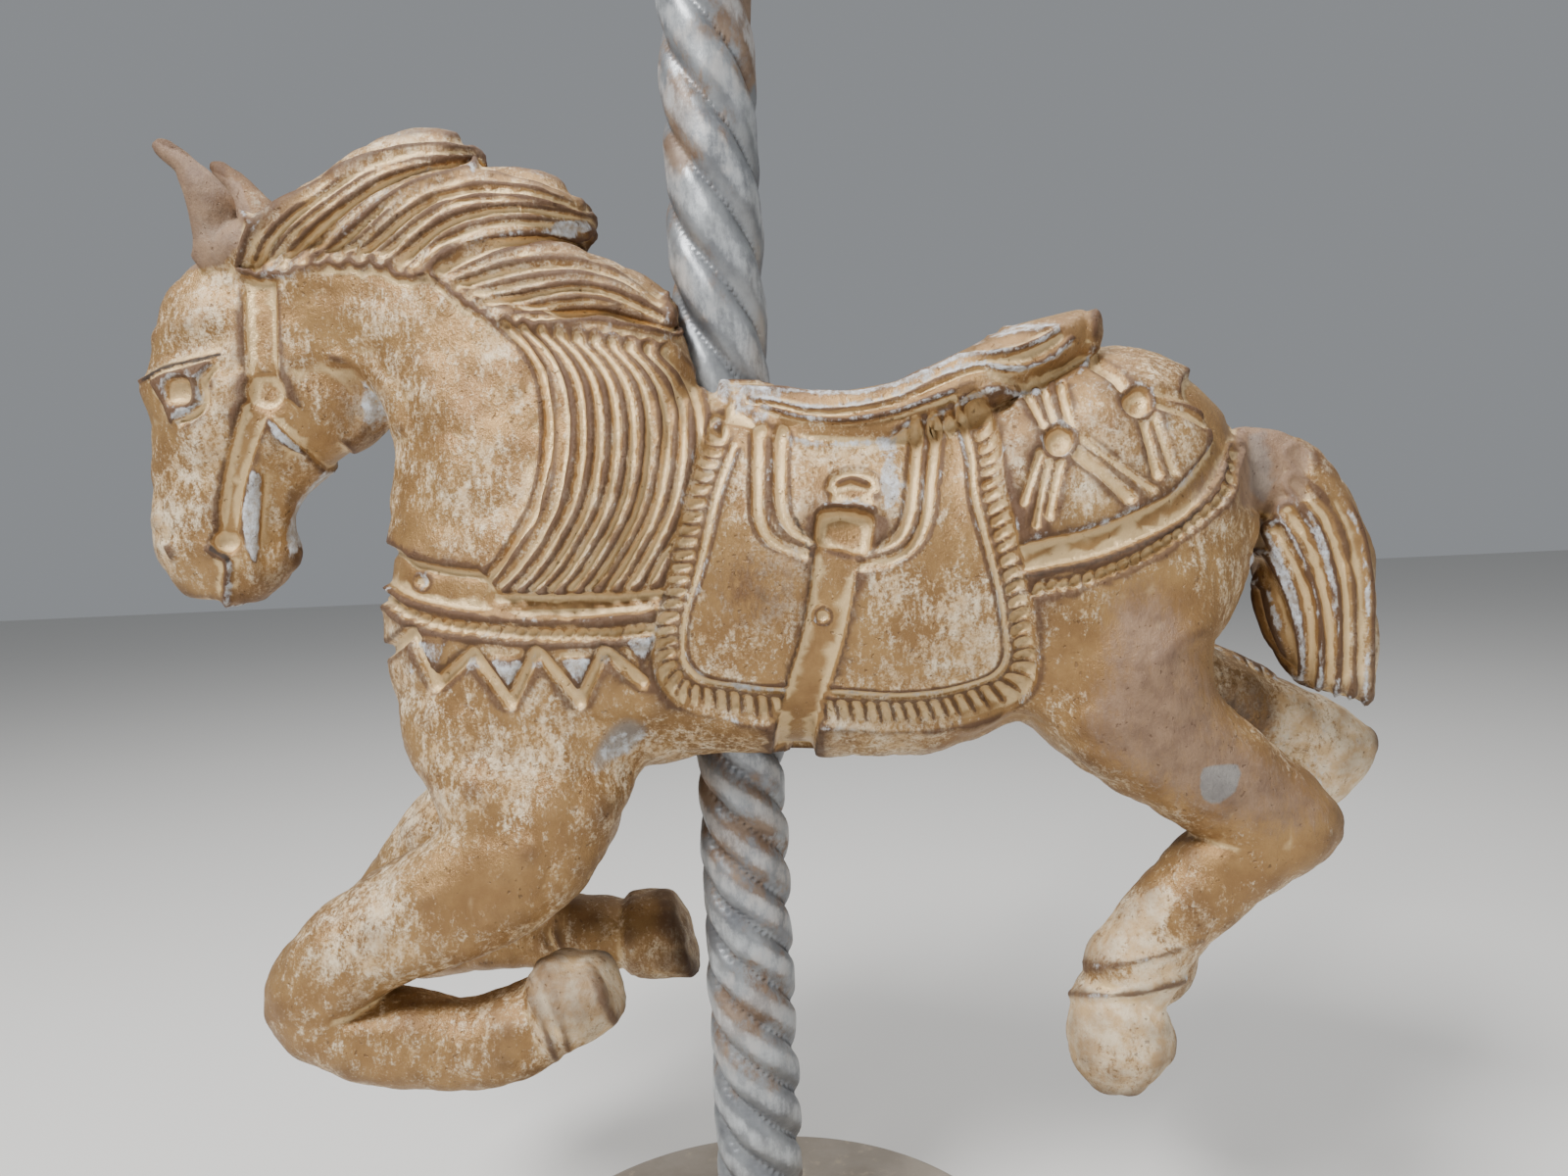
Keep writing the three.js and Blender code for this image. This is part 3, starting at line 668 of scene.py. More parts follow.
# Lines of the carving on the sheet
TIER_STRANDS = (
    (
        ((-118.4, 306.2), (-108.4, 311.1), (-96.9, 316.9), (-84.6, 321.1), (-72.6, 322.5), (-60, 320.3)),
        ((-120.5, 293.1), (-117.6, 299.8), (-112.1, 304.7), (-104.6, 309.5), (-95.5, 314.5), (-84, 318.3),
         (-72.7, 320.3), (-60.8, 319.8)),
        ((-118.1, 292.5), (-114.1, 298.8), (-107.3, 304.8), (-99, 310.1), (-89, 315.4), (-76.8, 318.7),
         (-61.3, 318.8)),
        ((-114.6, 292.4), (-110.1, 299.2), (-102.5, 304.9), (-94.2, 310.1), (-84.3, 315.1), (-72.9, 317),
         (-61.7, 317.3)),
        ((-111, 292.4), (-104.6, 298.4), (-96.6, 304.4), (-88.7, 309.2), (-81.2, 312.6), (-72.3, 315),
         (-62, 316)),
        ((-106.5, 293.6), (-99.7, 299.6), (-91.8, 304.7), (-83.8, 309.6), (-75.6, 312.8), (-62.3, 315)),
    ),
    (
        ((-102.5, 294.3), (-95, 298.4), (-87.5, 303.7), (-79.9, 309.3), (-70, 313.3), (-60, 314.3),
         (-50.2, 312.6), (-41.6, 309.8), (-35, 306)),
        ((-96.9, 294.2), (-89.4, 298.6), (-82.7, 303.8), (-74.4, 308.6), (-64.6, 310.8), (-53.5, 310.8),
         (-44.1, 308.8), (-34.6, 304.6)),
        ((-91.4, 293.9), (-84.6, 298.7), (-77.9, 303.6), (-69.7, 307.5), (-59.2, 308.9), (-48.1, 307.7),
         (-38.7, 305), (-32.5, 302.4)),
        ((-85.8, 293), (-79.9, 298.1), (-73.2, 302.5), (-65, 305.6), (-55.4, 306.3), (-45.9, 304.9),
         (-32, 301.2)),
        ((-81.2, 290.9), (-75.6, 296.2), (-69, 300.3), (-60.4, 302.8), (-50.8, 303.4), (-41.4, 302.1),
         (-32.3, 300)),
        ((-78.1, 290.2), (-71.3, 295.6), (-64.7, 298.2), (-56.6, 299.9), (-47.8, 300.2), (-35.2, 298.8)),
    ),
    (
        ((-70.2, 289.1), (-62.8, 292.3), (-53.9, 294.5), (-42.7, 295.2), (-34.8, 293.2), (-27.9, 289.6),
         (-21.1, 284.8), (-15.5, 279.7)),
        ((-69.1, 287.5), (-59.8, 290.1), (-49.3, 292), (-39.7, 291.8), (-31.9, 289.8), (-24.2, 285.8),
         (-15.9, 278.9)),
        ((-66.5, 284.9), (-56.8, 287.2), (-47.1, 288.6), (-38.4, 288.5), (-30.5, 286.9), (-22.8, 283.3),
         (-15.3, 277.3)),
        ((-63.5, 282.4), (-53.8, 283.8), (-43.4, 285.2), (-35.4, 285.2), (-27.6, 283.1), (-19.9, 279.5),
         (-14.6, 275.6)),
        ((-60.5, 280.2), (-51.7, 280.9), (-42, 282.4), (-34, 282.3), (-26.2, 279.9), (-14.7, 274)),
        ((-57.8, 278), (-49.5, 278.2), (-40.6, 279.3), (-31.1, 279.2), (-21.7, 276.4), (-14, 272.4)),
        ((-55.6, 276.2), (-48, 275.7), (-40, 276.2), (-30.5, 276.1), (-21.9, 273.6), (-13, 270.6)),
    ),
)
MANE_EDGE = (
    (-122.6, 290), (-112, 292), (-100, 293.6), (-92, 293.5), (-86, 291.5), (-80, 289), (-70, 286), (-63, 281),
    (-56, 274.6), (-43.7, 272.4), (-28, 271.6), (-12, 269.2),
)
LOCK_INNER = (
    (-55.2, 274.3), (-50.1, 268.8), (-46.3, 260.6), (-45.4, 248.6), (-47, 236.7), (-50, 227.2),
    (-55.3, 218.7),
    (-61.4, 211), (-67.4, 206.2),
)
LOCK_OUTER = (
    (-14.6, 265.7), (-9.4, 259), (-6.6, 251.8), (-6.4, 243), (-7.8, 233.4), (-10.7, 223.9), (-15.8, 215),
    (-21, 207), (-23, 204),
)
LOCK_COUNT = 10
TAIL_STRANDS = (
    ((149.4, 232), (156.5, 223.2), (162.2, 211.8), (164.8, 199.9), (165.4, 188.8), (165.2, 175.6),
     (164.8, 167)),
    ((149.1, 224.3), (156.2, 215.1), (160.2, 203.8), (161.7, 192.7), (161.9, 181.6), (161.3, 168.4)),
    ((147, 217), (151.9, 207.9), (155.7, 196.7), (157.4, 185.5), (157.6, 175.9), (157.2, 169.6)),
    ((144.3, 211.9), (148, 203.7), (151.1, 194.7), (152.6, 185), (152.6, 175.4), (152.4, 171.8)),
    ((139.9, 204), (143.4, 196.5), (146, 188.2), (147.6, 180.1), (148.1, 174.5)),
    ((138.5, 196), (140.1, 189.3), (142.5, 182.5), (145.2, 176.5)),
)
BEAD_LINE = (
    (-1, 245.1), (-5.7, 234.8), (-8.4, 227.1), (-11.2, 216.7), (-14.1, 205.7), (-17.2, 196), (-18.3, 187.5),
    (-17.6, 180.9), (-12.7, 175.4), (-3, 172.4), (8.6, 170.2), (28.1, 168.4), (42.4, 167.1), (55.6, 167.9),
    (65.5, 170), (72.8, 173), (76.4, 178.7), (76.2, 188.6), (75.1, 198.5), (73.3, 208.4), (71.2, 218.3),
    (69.1, 228.2), (68.3, 238.1), (66.1, 246.1), (64.4, 253.4),
)
BLANKET_MIDDLE = (28.0, 215.0)
FLAP_RIDGES = (
    ((9.1, 244.6), (8.3, 234.2), (7.8, 224.4), (9.1, 218.4), (12.8, 214.4), (19.5, 211.8)),
    ((15, 244.3), (14.1, 234), (14, 224.8), (16.3, 218.8), (21, 215.3)),
    ((55.2, 245.2), (53.6, 232.2), (52, 220.5), (48.7, 213.4), (43.3, 209.4), (34, 207.6)),
    ((50.6, 244.1), (49.3, 232.4), (47.8, 222), (44.9, 215.5), (40.2, 212.5), (35.5, 211.2)),
)
GIRTH_LINE = ((28, 211.4), (25.8, 199.7), (22.9, 187.7), (18.7, 175.3), (15.6, 165.4), (14.2, 158), (13, 146))
GIRTH_HALF = 5.7
PAD_OUTLINE = (
    (23.4, 222.4), (25.7, 223.6), (32.2, 223.6), (37.7, 221.4), (37.8, 216.5), (35.9, 211), (29.1, 212.3),
    (22.6, 214.9),
)
SEAT_LINES = (
    ((5.8, 255.9), (17.5, 254.5), (27.2, 253.4), (35.7, 253.3), (44.3, 254.6), (53.6, 258.1), (62.3, 261.3),
     (70.6, 262.2), (77.2, 262.6), (83.2, 264.5), (87.8, 267)),
    ((6.3, 254), (14.1, 252.3), (21.8, 250.3), (30.3, 250), (38.8, 250.9), (46.8, 252.8), (56.8, 257),
     (66.8, 259.4), (74.1, 257.6), (79.3, 257.4), (84.5, 258.9), (88.3, 261.1), (92.1, 264.6)),
    ((9.5, 251.2), (19.1, 247.8), (28.8, 246.4), (36.7, 246.7), (45.2, 248), (51.9, 250), (59.8, 252.3)),
)
SEAT_EDGE = (
    (2, 253), (6.2, 250.7), (11.2, 247.2), (18.8, 242.9), (26.6, 241.3), (36.4, 241.2), (43, 242.5),
    (48.4, 245.5), (55.7, 247.2), (61, 250.2), (70.3, 253.4), (76.9, 252), (85.1, 253.5), (91.8, 256.5),
    (94.5, 258.6), (96.7, 262.9),
)
SEAT_STROKE = ((66, 264, 0.75), (75, 266.5, 0.3), (82, 267, 0.2))
HIP_BAND = (
    (74, 207.2), (85, 209.2), (93.9, 210.6), (102.1, 212.9), (111.2, 216.4), (118.7, 219.8), (124, 224.8),
    (128.6, 230.4), (131.4, 235.4), (131.2, 240.6), (128.4, 246.2), (124, 251),
)
HIP_BEADS = (
    (79, 199.3), (91.4, 201.1), (100.4, 204), (107.9, 207), (115.4, 211.1), (122.2, 215.2), (129.1, 221.5),
    (132.6, 228), (134.7, 234.6),
)
HIP_ROSETTES = ((87.4, 238.4), (108.2, 247.6))
HIP_STRAPS = (
    (((78.8, 251.9), (83.9, 241.6)), 1.3), (((83.4, 252.4), (86.4, 242)), 1.2),
    (((88, 252.2), (90.8, 241)), 1.2),
    (((90.6, 236.4), (99.8, 228.8), (105.5, 222.6)), 2.0),
    (((93.4, 238.7), (102.8, 230.9), (111.4, 224.5)), 0.9),
    (((82.4, 235.2), (77.7, 222.4)), 1.2), (((84.8, 234.2), (80.5, 216.4)), 1.2),
    (((87.7, 233.8), (83.9, 218.5)), 1.2), (((109.6, 243.8), (113, 228.2)), 1.5),
    (((112.4, 243.8), (117.5, 228.7)), 1.1), (((112.4, 247.4), (119.5, 244.8), (126, 240.8)), 1.3),
    (((112.6, 249.8), (121.1, 247.7), (127.6, 243.7)), 1.1),
    (((97.1, 257.7), (102.1, 254.5), (105.4, 250.6)), 1.8),
)
CHEST_TOP = (
    (-94, 220), (-89.8, 219.1), (-85.1, 215.1), (-75.5, 212.5), (-64.7, 210.9), (-62.8, 205.1),
    (-45.5, 203.5),
    (-30.4, 203.6), (-18, 204.2),
)
CHEST_LOW = (
    (-18, 198), (-30.6, 197.3), (-45.8, 196.8), (-64.2, 198.7), (-76, 201.1), (-84.6, 203.7), (-90.4, 207.2),
    (-96, 210),
)
CHEST_BEADS = (
    (-95, 207), (-90.5, 204.5), (-86.9, 201.1), (-78.4, 197.6), (-65.5, 195.2), (-51.4, 193.4),
    (-35.1, 192.9),
    (-22, 193.5),
)
FRINGE = (
    (-93, 190), (-85, 196.1), (-79.7, 181.2), (-69.6, 189.4), (-60.4, 175.4), (-52.7, 189.5), (-42, 174.8),
    (-34.8, 188.6), (-24.9, 179.7),
)
CHEEK_STRAPS = (
    (((-118.3, 291), (-118.8, 278.3), (-119.4, 265.5)), 4.1, 4.1),
    (((-122.2, 255), (-126.3, 245.1), (-129.5, 234.8), (-131.5, 224)), 3.5, 2.4),
    (((-116.4, 256.4), (-109.7, 249.3), (-101.4, 241.7)), 3.6, 4.0),
)
CHEEK_ROSETTE = (-119.1, 260.3)
BIT_KNOB = (-132.1, 221.8)
EYE_RECESS = (
    (-148, 264.3), (-144.4, 266), (-138.5, 267.2), (-131.3, 268.8), (-132.9, 266.4), (-135.8, 263.8),
    (-135.6, 260.3), (-136, 257.6), (-138.4, 256), (-140.6, 255.4), (-142.9, 251.9), (-144.8, 257.8),
)
EYE_BALL = (-140.6, 261.2)
MOUTH_LINE = ((-136.3, 220.2), (-133.4, 218.3), (-131.9, 216.4), (-132.3, 212), (-133.2, 205))


@dataclass
class Drawing:
    """The whole carving's relief, drawn on one sheet piece by piece."""

    sheet: Sheet = field(default_factory=Sheet)

    def draw(self) -> Sheet:
        """Draws everything, from what lies lowest to what lies on top."""
        for part in (self.face, self.mane, self.locks, self.chest, self.hips, self.blanket, self.saddle,
                     self.girth, self.tail, self.legs, self.stains):
            part()
        layers = self.sheet.layers
        layers["height"] = blurred(layers["height"], 1.3)
        layers["white"] = blurred(layers["white"], 1.2)
        return self.sheet

    def mane(self) -> None:
        """The mane's three tiers of strands, each lying over the next one down."""
        sheet = self.sheet
        for tier, strands in reversed(list(enumerate(TIER_STRANDS))):
            crest, region, fine = sheet.blank(), sheet.blank(), sheet.blank()
            for number, strand in enumerate(strands):
                crest = np.maximum(crest, sheet.strand(strand, 2.5, 1.3) * (1.0 - 0.18 * (number % 2)))
                region = np.maximum(region, sheet.band(strand, 3.6, 2.2, 1.0))
                lower = [(x + 0.9, z - 1.1) for x, z in strand]
                fine = np.maximum(fine, sheet.strand(lower, 0.6, 0.4))
            sheet.lay(region, 0.0)
            sheet.raise_by(region * (3.1 * crest**1.7 - 2.0 - 0.6 * fine))
            sheet.mark("white", region * ramp((0.6 - crest) / 0.4), 0.42)
            sheet.mark("brown", region * ramp((0.35 - crest) / 0.3), 0.75)
            LOG.info("mane tier %d drawn", tier + 1)
        across = sheet.track(MANE_EDGE, 3)[0]
        sheet.raise_by(-0.9 * ramp(1 - np.abs(across + 0.6) / 1.2))
        sheet.mark("white", ramp(1.4 - np.abs(across + 0.2) / 1.0), 0.3)
        sheet.mark("brown", ramp(1.4 - np.abs(across - 0.6) / 1.2), 0.6)

    def locks(self) -> None:
        """The locks that fall over the shoulder to the chest band."""
        sheet = self.sheet
        inner, outer = smooth_line(LOCK_INNER, 4), smooth_line(LOCK_OUTER, 4)
        crest, region, fine = sheet.blank(), sheet.blank(), sheet.blank()
        for number in range(LOCK_COUNT):
            share = number / (LOCK_COUNT - 1)
            line = (inner * (1 - share) + outer * share).tolist()
            crest = np.maximum(crest, sheet.strand(line, 2.25, 2.0, 1))
            region = np.maximum(region, sheet.band(line, 2.5, 2.3, 0.8, 1))
            side = [(x + 1.0, z) for x, z in line]
            fine = np.maximum(fine, sheet.strand(side, 0.5, 0.4, 1))
        sheet.lay(region, 0.0)
        sheet.raise_by(region * (3.0 * crest**1.7 - 1.7 - 0.5 * fine))
        sheet.mark("white", region * ramp((0.6 - crest) / 0.4), 0.5)
        sheet.mark("brown", region * ramp((0.3 - crest) / 0.3), 0.6)

    def face(self) -> None:
        """Brow, eye, cheek, jaw, mouth and bridle."""
        sheet = self.sheet
        cheek = ((-112, 266), (-103, 267.5), (-95.6, 261), (-94, 252.5), (-99.5, 246.5), (-108, 248.5))
        plate = sheet.inside(cheek, 5, 6)
        sheet.raise_by(1.5 * plate)
        crease = sheet.strand(((-101, 268), (-93.3, 266), (-87.5, 258.5), (-84.5, 249)), 2.0)
        sheet.raise_by(-1.8 * blurred(crease, 4))
        throat = ((-95.1, 264.1), (-90.6, 259.9), (-86.6, 251.7), (-92, 249.4), (-94.4, 256.9))
        sheet.mark("white", sheet.inside(throat, 3.0, 4), 0.75)
        fold = sheet.strand(((-95, 266), (-87.5, 261), (-83, 250), (-80.5, 239), (-80, 226)), 5.0, 2.6)
        sheet.raise_by(1.2 * blurred(fold, 12))
        jaw = ((-124.5, 240.5), (-127, 231.5), (-127.6, 221.9), (-124.8, 216.4), (-122.4, 231.3),
               (-121.6, 238.6))
        sheet.raise_by(-1.3 * sheet.inside(jaw, 1.6, 4))
        sheet.mark("white", sheet.inside(jaw, 1.4, 4), 0.95)
        wedge = ((-119.4, 253.8), (-116.6, 252), (-109.6, 243.6), (-113.1, 244.9), (-118.2, 249.2))
        sheet.raise_by(-1.1 * sheet.inside(wedge, 1.2))
        sheet.mark("white", sheet.inside(wedge, 1.2), 0.95)
        under = ((-97, 241.5), (-105.7, 239), (-113, 231.5), (-116.6, 222.1), (-115, 216), (-112, 222),
                 (-106, 233), (-97, 239))
        sheet.mark("white", sheet.inside(under, 1.5), 0.9)
        chin = sheet.strand(((-113, 243), (-119, 236), (-121.6, 226), (-120.5, 216)), 4.6, 4.2)
        sheet.raise_by(1.1 * blurred(chin, 5))
        brow = ((-150.5, 264.6), (-145, 267.6), (-138, 268.8), (-130, 270.4))
        sheet.raise_by(2.2 * blurred(sheet.strand([(x, z + 3.6) for x, z in brow], 4.2, 2.4), 9))
        lid = ((-131.8, 267.2), (-134.6, 263.4), (-134.6, 258.4), (-137.4, 254.9), (-141, 253.4))
        sheet.raise_by(0.9 * sheet.strand(lid, 1.3, 0.8))
        recess = sheet.inside(EYE_RECESS, 0.9)
        sheet.lay(recess, -2.1)
        sheet.mark("white", recess, 0.72)
        x, z = np.meshgrid(np.abs(sheet.xs - EYE_BALL[0]) / 3.3, np.abs(sheet.zs - EYE_BALL[1]) / 3.6)
        squarish = (x**3.0 + z**3.0) ** (1 / 3.0)
        ball = ramp((1.1 - squarish) / 0.35)
        sheet.lay(ball, 0.5)
        sheet.raise_by(0.7 * ball * np.clip(1 - squarish**2, 0, 1))
        sheet.mark("white", ramp((1.2 - squarish) / 0.2), 0.0)
        sheet.raise_by(-1.0 * sheet.strand(brow, 0.7, 0.6))
        # Painted shade: a dark line under the brow and a dark ring round the eyeball in its recess.
        sheet.line_in("dark", sheet.strand(brow, 0.9, 0.7), 0.75)
        sheet.mark("dark", ramp((1.34 - squarish) / 0.1) * ramp((squarish - 1.06) / 0.1) * recess, 0.35)
        nostril = ((-148.4, 221.4), (-146.6, 221.8), (-145.2, 219.6), (-146.4, 217.8))
        sheet.raise_by(-1.4 * sheet.inside(nostril, 1.2, 4))
        wing = sheet.strand(((-149, 224.6), (-145, 224.2), (-143, 220.5), (-144.6, 216.6)), 1.6, 0.9)
        sheet.raise_by(0.6 * blurred(wing, 3))
        sheet.raise_by(-2.2 * sheet.strand(MOUTH_LINE, 1.0, 1.5))
        # Painted shade: the upper part of the mouth's crease darkened.
        sheet.line_in("dark", sheet.strand(MOUTH_LINE[:3], 1.1, 0.9), 0.8, 1.5, 0.4)
        sheet.line_in("white", sheet.strand(MOUTH_LINE[2:], 1.3, 1.8), 0.62, 1.5, 0.4)
        for line, half, end in CHEEK_STRAPS:
            strap = sheet.band(line, half, end, 0.9)
            sheet.lay(strap, 1.3)
            sheet.paint(strap, white=0.0, smooth=0.8)
        rosette = sheet.disc(CHEEK_ROSETTE, 5.0)
        sheet.lay(rosette, 1.9)
        sheet.raise_by(1.0 * sheet.dome(CHEEK_ROSETTE, 4.9))
        sheet.mark("smooth", rosette, 1.0)
        knob = sheet.disc(BIT_KNOB, 3.6, 0.85)
        sheet.lay(knob, 1.1)
        sheet.raise_by(1.1 * sheet.dome(BIT_KNOB, 3.6, 0.85))
        sheet.mark("smooth", knob, 0.9)

    def chest(self) -> None:
        """The chest band with its rivet, the beads under it and the pointed fringe."""
        sheet = self.sheet
        arms = sheet.band(FRINGE, 1.5, 1.5, 0.8, 1)
        shade = [(x, z + 3.4) for x, z in FRINGE if z < 185]
        sheet.raise_by(1.9 * arms)
        for x, z in shade:
            pocket = sheet.inside(((x - 4.6, z + 8.6), (x + 4.6, z + 8.6), (x, z + 0.4)), 0.8)
            sheet.raise_by(-1.0 * pocket)
            sheet.mark("white", pocket, 0.7)
        for x in (-69.5, -52.7, -34.8, -85.0):
            sheet.mark("white", sheet.inside(((x - 3, 184.5), (x + 3, 184.5), (x, 190.5)), 0.8), 0.55)
        band = sheet.inside((*CHEST_TOP, *CHEST_LOW), 0.9)
        keep = sheet.inside(((-67, 211.6), (-17, 211), (-17, 204.6), (-45, 204.2), (-62, 205.4)), 0.8)
        band = band * (1 - keep)
        sheet.lay(band, 2.0)
        sheet.paint(band, white=0.0, smooth=0.7)
        lip = ((-94, 218.4), (-88, 216.6), (-84, 213.4), (-75.5, 211.2), (-66, 209.6))
        sheet.raise_by(0.7 * sheet.strand(lip, 1.5, 1.1))
        ledge = ((-63, 203.6), (-45.5, 202.2), (-30.4, 202.2), (-19, 202.6))
        sheet.raise_by(0.9 * sheet.strand(ledge, 1.7, 1.7))
        groove = [(x, z + 0.3) for x, z in CHEST_LOW]
        sheet.raise_by(-1.3 * sheet.strand(groove, 1.0, 1.0))
        sheet.line_in("white", sheet.strand(groove, 1.2, 1.2), 0.36)
        row = sheet.band(CHEST_BEADS, 1.9, 1.9, 0.8)
        sheet.lay(row, 1.9)
        sheet.beads(CHEST_BEADS, 1.9, 3.2, 2.3, 0.5, GOLDEN_SEED + 1)
        below = [(x, z - 2.9) for x, z in CHEST_BEADS]
        sheet.raise_by(-0.7 * sheet.strand(below, 1.0, 1.0))
        # Painted shade: a dark line under the row of beads.
        sheet.line_in("dark", sheet.strand(below, 1.1, 1.1), 0.45, 1.3, 0.4)
        self.rivet((-82.7, 209.0), 2.0)

    def rivet(self, centre: tuple, radius: float) -> None:
        """A small domed rivet in a ring-shaped groove."""
        sheet = self.sheet
        sheet.raise_by(-0.8 * (sheet.disc(centre, radius + 0.8) - sheet.disc(centre, radius - 0.1)))
        sheet.raise_by(0.7 * sheet.dome(centre, radius))
        sheet.mark("white", sheet.disc(centre, radius + 0.7) - sheet.disc(centre, radius - 0.2), 0.6)

    def blanket(self) -> None:
        """The saddle cloth with its beaded border and the flap's ridges."""
        sheet = self.sheet
        field_mask = sheet.inside([*BEAD_LINE, (40, 262), (5, 262)], 0.9)
        cloth = np.maximum(field_mask, sheet.band(BEAD_LINE, 3.5, 3.5, 0.9))
        sheet.lay(cloth, 1.8)
        sheet.paint(cloth, white=0.0, smooth=0.0)
        line = smooth_line(BEAD_LINE, 4)
        middle = np.array(BLANKET_MIDDLE)
        inward = middle - line
        inward /= np.linalg.norm(inward, axis=1, keepdims=True)
        lip = (line + inward * 4.6).tolist()
        ditch = (line + inward * 6.2).tolist()
        ditch_mask = sheet.strand(ditch, 0.9, 0.9, 1)
        sheet.raise_by(-0.8 * ditch_mask)
        sheet.line_in("white", ditch_mask, 0.5)
        sheet.raise_by(1.0 * sheet.strand(lip, 1.5, 1.5, 1))
        border = sheet.band(BEAD_LINE, 3.3, 3.3, 0.8)
        sheet.lay(border, 3.2)
        sheet.beads(BEAD_LINE, 3.2, 3.6, 3.2, -0.28, GOLDEN_SEED + 2)
        outside = (line - inward * 4.0).tolist()
        rim = sheet.strand(outside, 0.9, 0.9, 1)
        sheet.line_in("white", rim, 0.45, 1.4, 0.4)
        for ridge in FLAP_RIDGES:
            strand = sheet.strand(ridge, 1.9, 1.7)
            sheet.raise_by(1.5 * strand)
            for shift in (-2.3, 2.3):
                beside = [(x + shift, z - 0.2 * abs(shift)) for x, z in ridge]
                gap = sheet.strand(beside, 0.7, 0.6)
                sheet.raise_by(-0.5 * gap)
                sheet.line_in("white", gap, 0.42, 1.3, 0.3)
        flap = ((18, 243), (18.5, 222), (23, 215), (37, 213), (44, 218), (46, 232), (47, 245))
        sheet.raise_by(-0.4 * sheet.inside(flap, 2.0))
        sheet.mark("white", sheet.inside(((40, 238), (45.5, 245), (45, 224), (40, 222)), 2.0), 0.8)
        crack = ((17.6, 221), (19.6, 216), (20.8, 211))
        sheet.line_in("dark", sheet.strand(crack, 0.9, 0.6), 0.7)

    def girth(self) -> None:
        """The girth strap, its pad and the arched keeper above it."""
        sheet = self.sheet
        strap = sheet.band(GIRTH_LINE, GIRTH_HALF, GIRTH_HALF - 0.6, 0.9)
        sheet.lay(strap, 3.3)
        sheet.paint(strap, white=0.0, smooth=0.75)
        # Painted shade: a dark rim round the raised strap, where it meets the body.
        edge = sheet.band(GIRTH_LINE, GIRTH_HALF + 1.0, GIRTH_HALF + 0.4, 0.8) - strap
        sheet.mark("dark", np.clip(edge, 0, 1), 0.55)
        self.rivet((23.6, 194.5), 2.0)
        arch = ((27, 229.5), (28.6, 232.4), (33.2, 233.6), (37.6, 231.9), (38.9, 228.6))
        sheet.raise_by(1.5 * sheet.strand(arch, 1.1, 1.1))
        sides = ((27.3, 230.6), (32.6, 231.2), (38.2, 229.6), (37.9, 224.4), (27.2, 225.2))
        keeper = sheet.inside(sides, 0.9)
        sheet.lay(keeper, 3.0)
        sheet.paint(keeper, white=0.0, smooth=1.0)
        pad = sheet.inside(PAD_OUTLINE, 1.3, 5)
        sheet.lay(pad, 4.6)
        sheet.raise_by(1.4 * blurred(pad, 7) * pad)
        sheet.paint(pad, white=0.0, smooth=1.0)
        collar = ((25.4, 224.5), (32.4, 225.0), (38.2, 223.0))
        gap = sheet.strand(collar, 0.9, 0.9)
        sheet.raise_by(-0.9 * gap)
        sheet.line_in("white", gap, 0.7)

    def saddle(self) -> None:
        """The saddle's rolled layers and the edge that stands over the cloth."""
        sheet = self.sheet
        edge = smooth_line(SEAT_EDGE, 4)
        top = [(96.7, 276), (60, 276), (0, 268)]
        seat = sheet.inside([*edge.tolist(), *top], 0.8)
        sheet.lay(seat, 1.2)
        sheet.paint(seat, white=0.0, smooth=0.4)
        for number, line in enumerate(SEAT_LINES):
            below = [(x, z - 2.1) for x, z in line]
            sheet.raise_by(0.9 * sheet.strand(below, 2.2, 2.2))
            gap = sheet.strand(line, 0.9, 0.9)
            sheet.raise_by(-1.2 * gap)
            sheet.line_in("white", gap, (0.75, 0.75, 0.6)[number], 1.5, 0.3)
        under = (edge + np.array([0.0, -1.2])).tolist()
        rim = sheet.strand(under, 1.3, 1.3, 1)
        sheet.raise_by(-0.9 * rim)
        sheet.line_in("white", rim, 0.6, 1.4, 0.4)
        for shift in (0.0, 3.2, 6.2):
            stroke = [(x + shift, z + rise * shift) for x, z, rise in SEAT_STROKE]
            cut = sheet.strand(stroke, 0.7, 0.4)
            sheet.raise_by(-0.5 * cut)
            sheet.line_in("white", cut, 0.7)

    def hips(self) -> None:
        """The hip band with its beads, the two rosettes and the straps that fan out of them."""
        sheet = self.sheet
        fans = sheet.blank()
        for line, half in HIP_STRAPS:
            fans = np.maximum(fans, sheet.strand(line, half + 0.3, half, 4) * min(half, 1.6))
        near = ramp(sum(sheet.disc(centre, 16, 1, 6) for centre in HIP_ROSETTES))
        sheet.raise_by(1.1 * fans)
        sheet.mark("white", near * ramp(0.5 - fans) * 0.6, 0.7)
        band = sheet.band(HIP_BAND, 3.7, 3.9, 0.9)
        sheet.lay(band, 1.9)
        sheet.paint(band, white=0.0, smooth=0.8)
        groove = [(x + 0.25, z - 4.9) for x, z in HIP_BAND[:-3]]
        gap = sheet.strand(groove, 1.0, 1.0)
        sheet.raise_by(-1.0 * gap)
        # Painted shade: the groove under the hip band darkened.
        sheet.line_in("dark", gap, 0.55)
        row = sheet.band(HIP_BEADS, 1.9, 1.7, 0.8)
        sheet.lay(row, 1.5)
        sheet.beads(HIP_BEADS, 1.9, 3.4, 2.3, 0.4, GOLDEN_SEED + 3)
        upper = [(x - 0.6, z + 4.7) for x, z in HIP_BAND[:-4]]
        sheet.line_in("white", sheet.strand(upper, 1.5, 1.5), 0.5)
        for centre in HIP_ROSETTES:
            sheet.lay(sheet.disc(centre, 5.0), 0.3)
            sheet.mark("white", sheet.disc(centre, 5.0), 0.55)
            boss = sheet.disc(centre, 3.8)
            sheet.lay(boss, 2.2)
            sheet.raise_by(1.2 * sheet.dome(centre, 3.8))
            sheet.paint(boss, white=0.0, smooth=1.0)

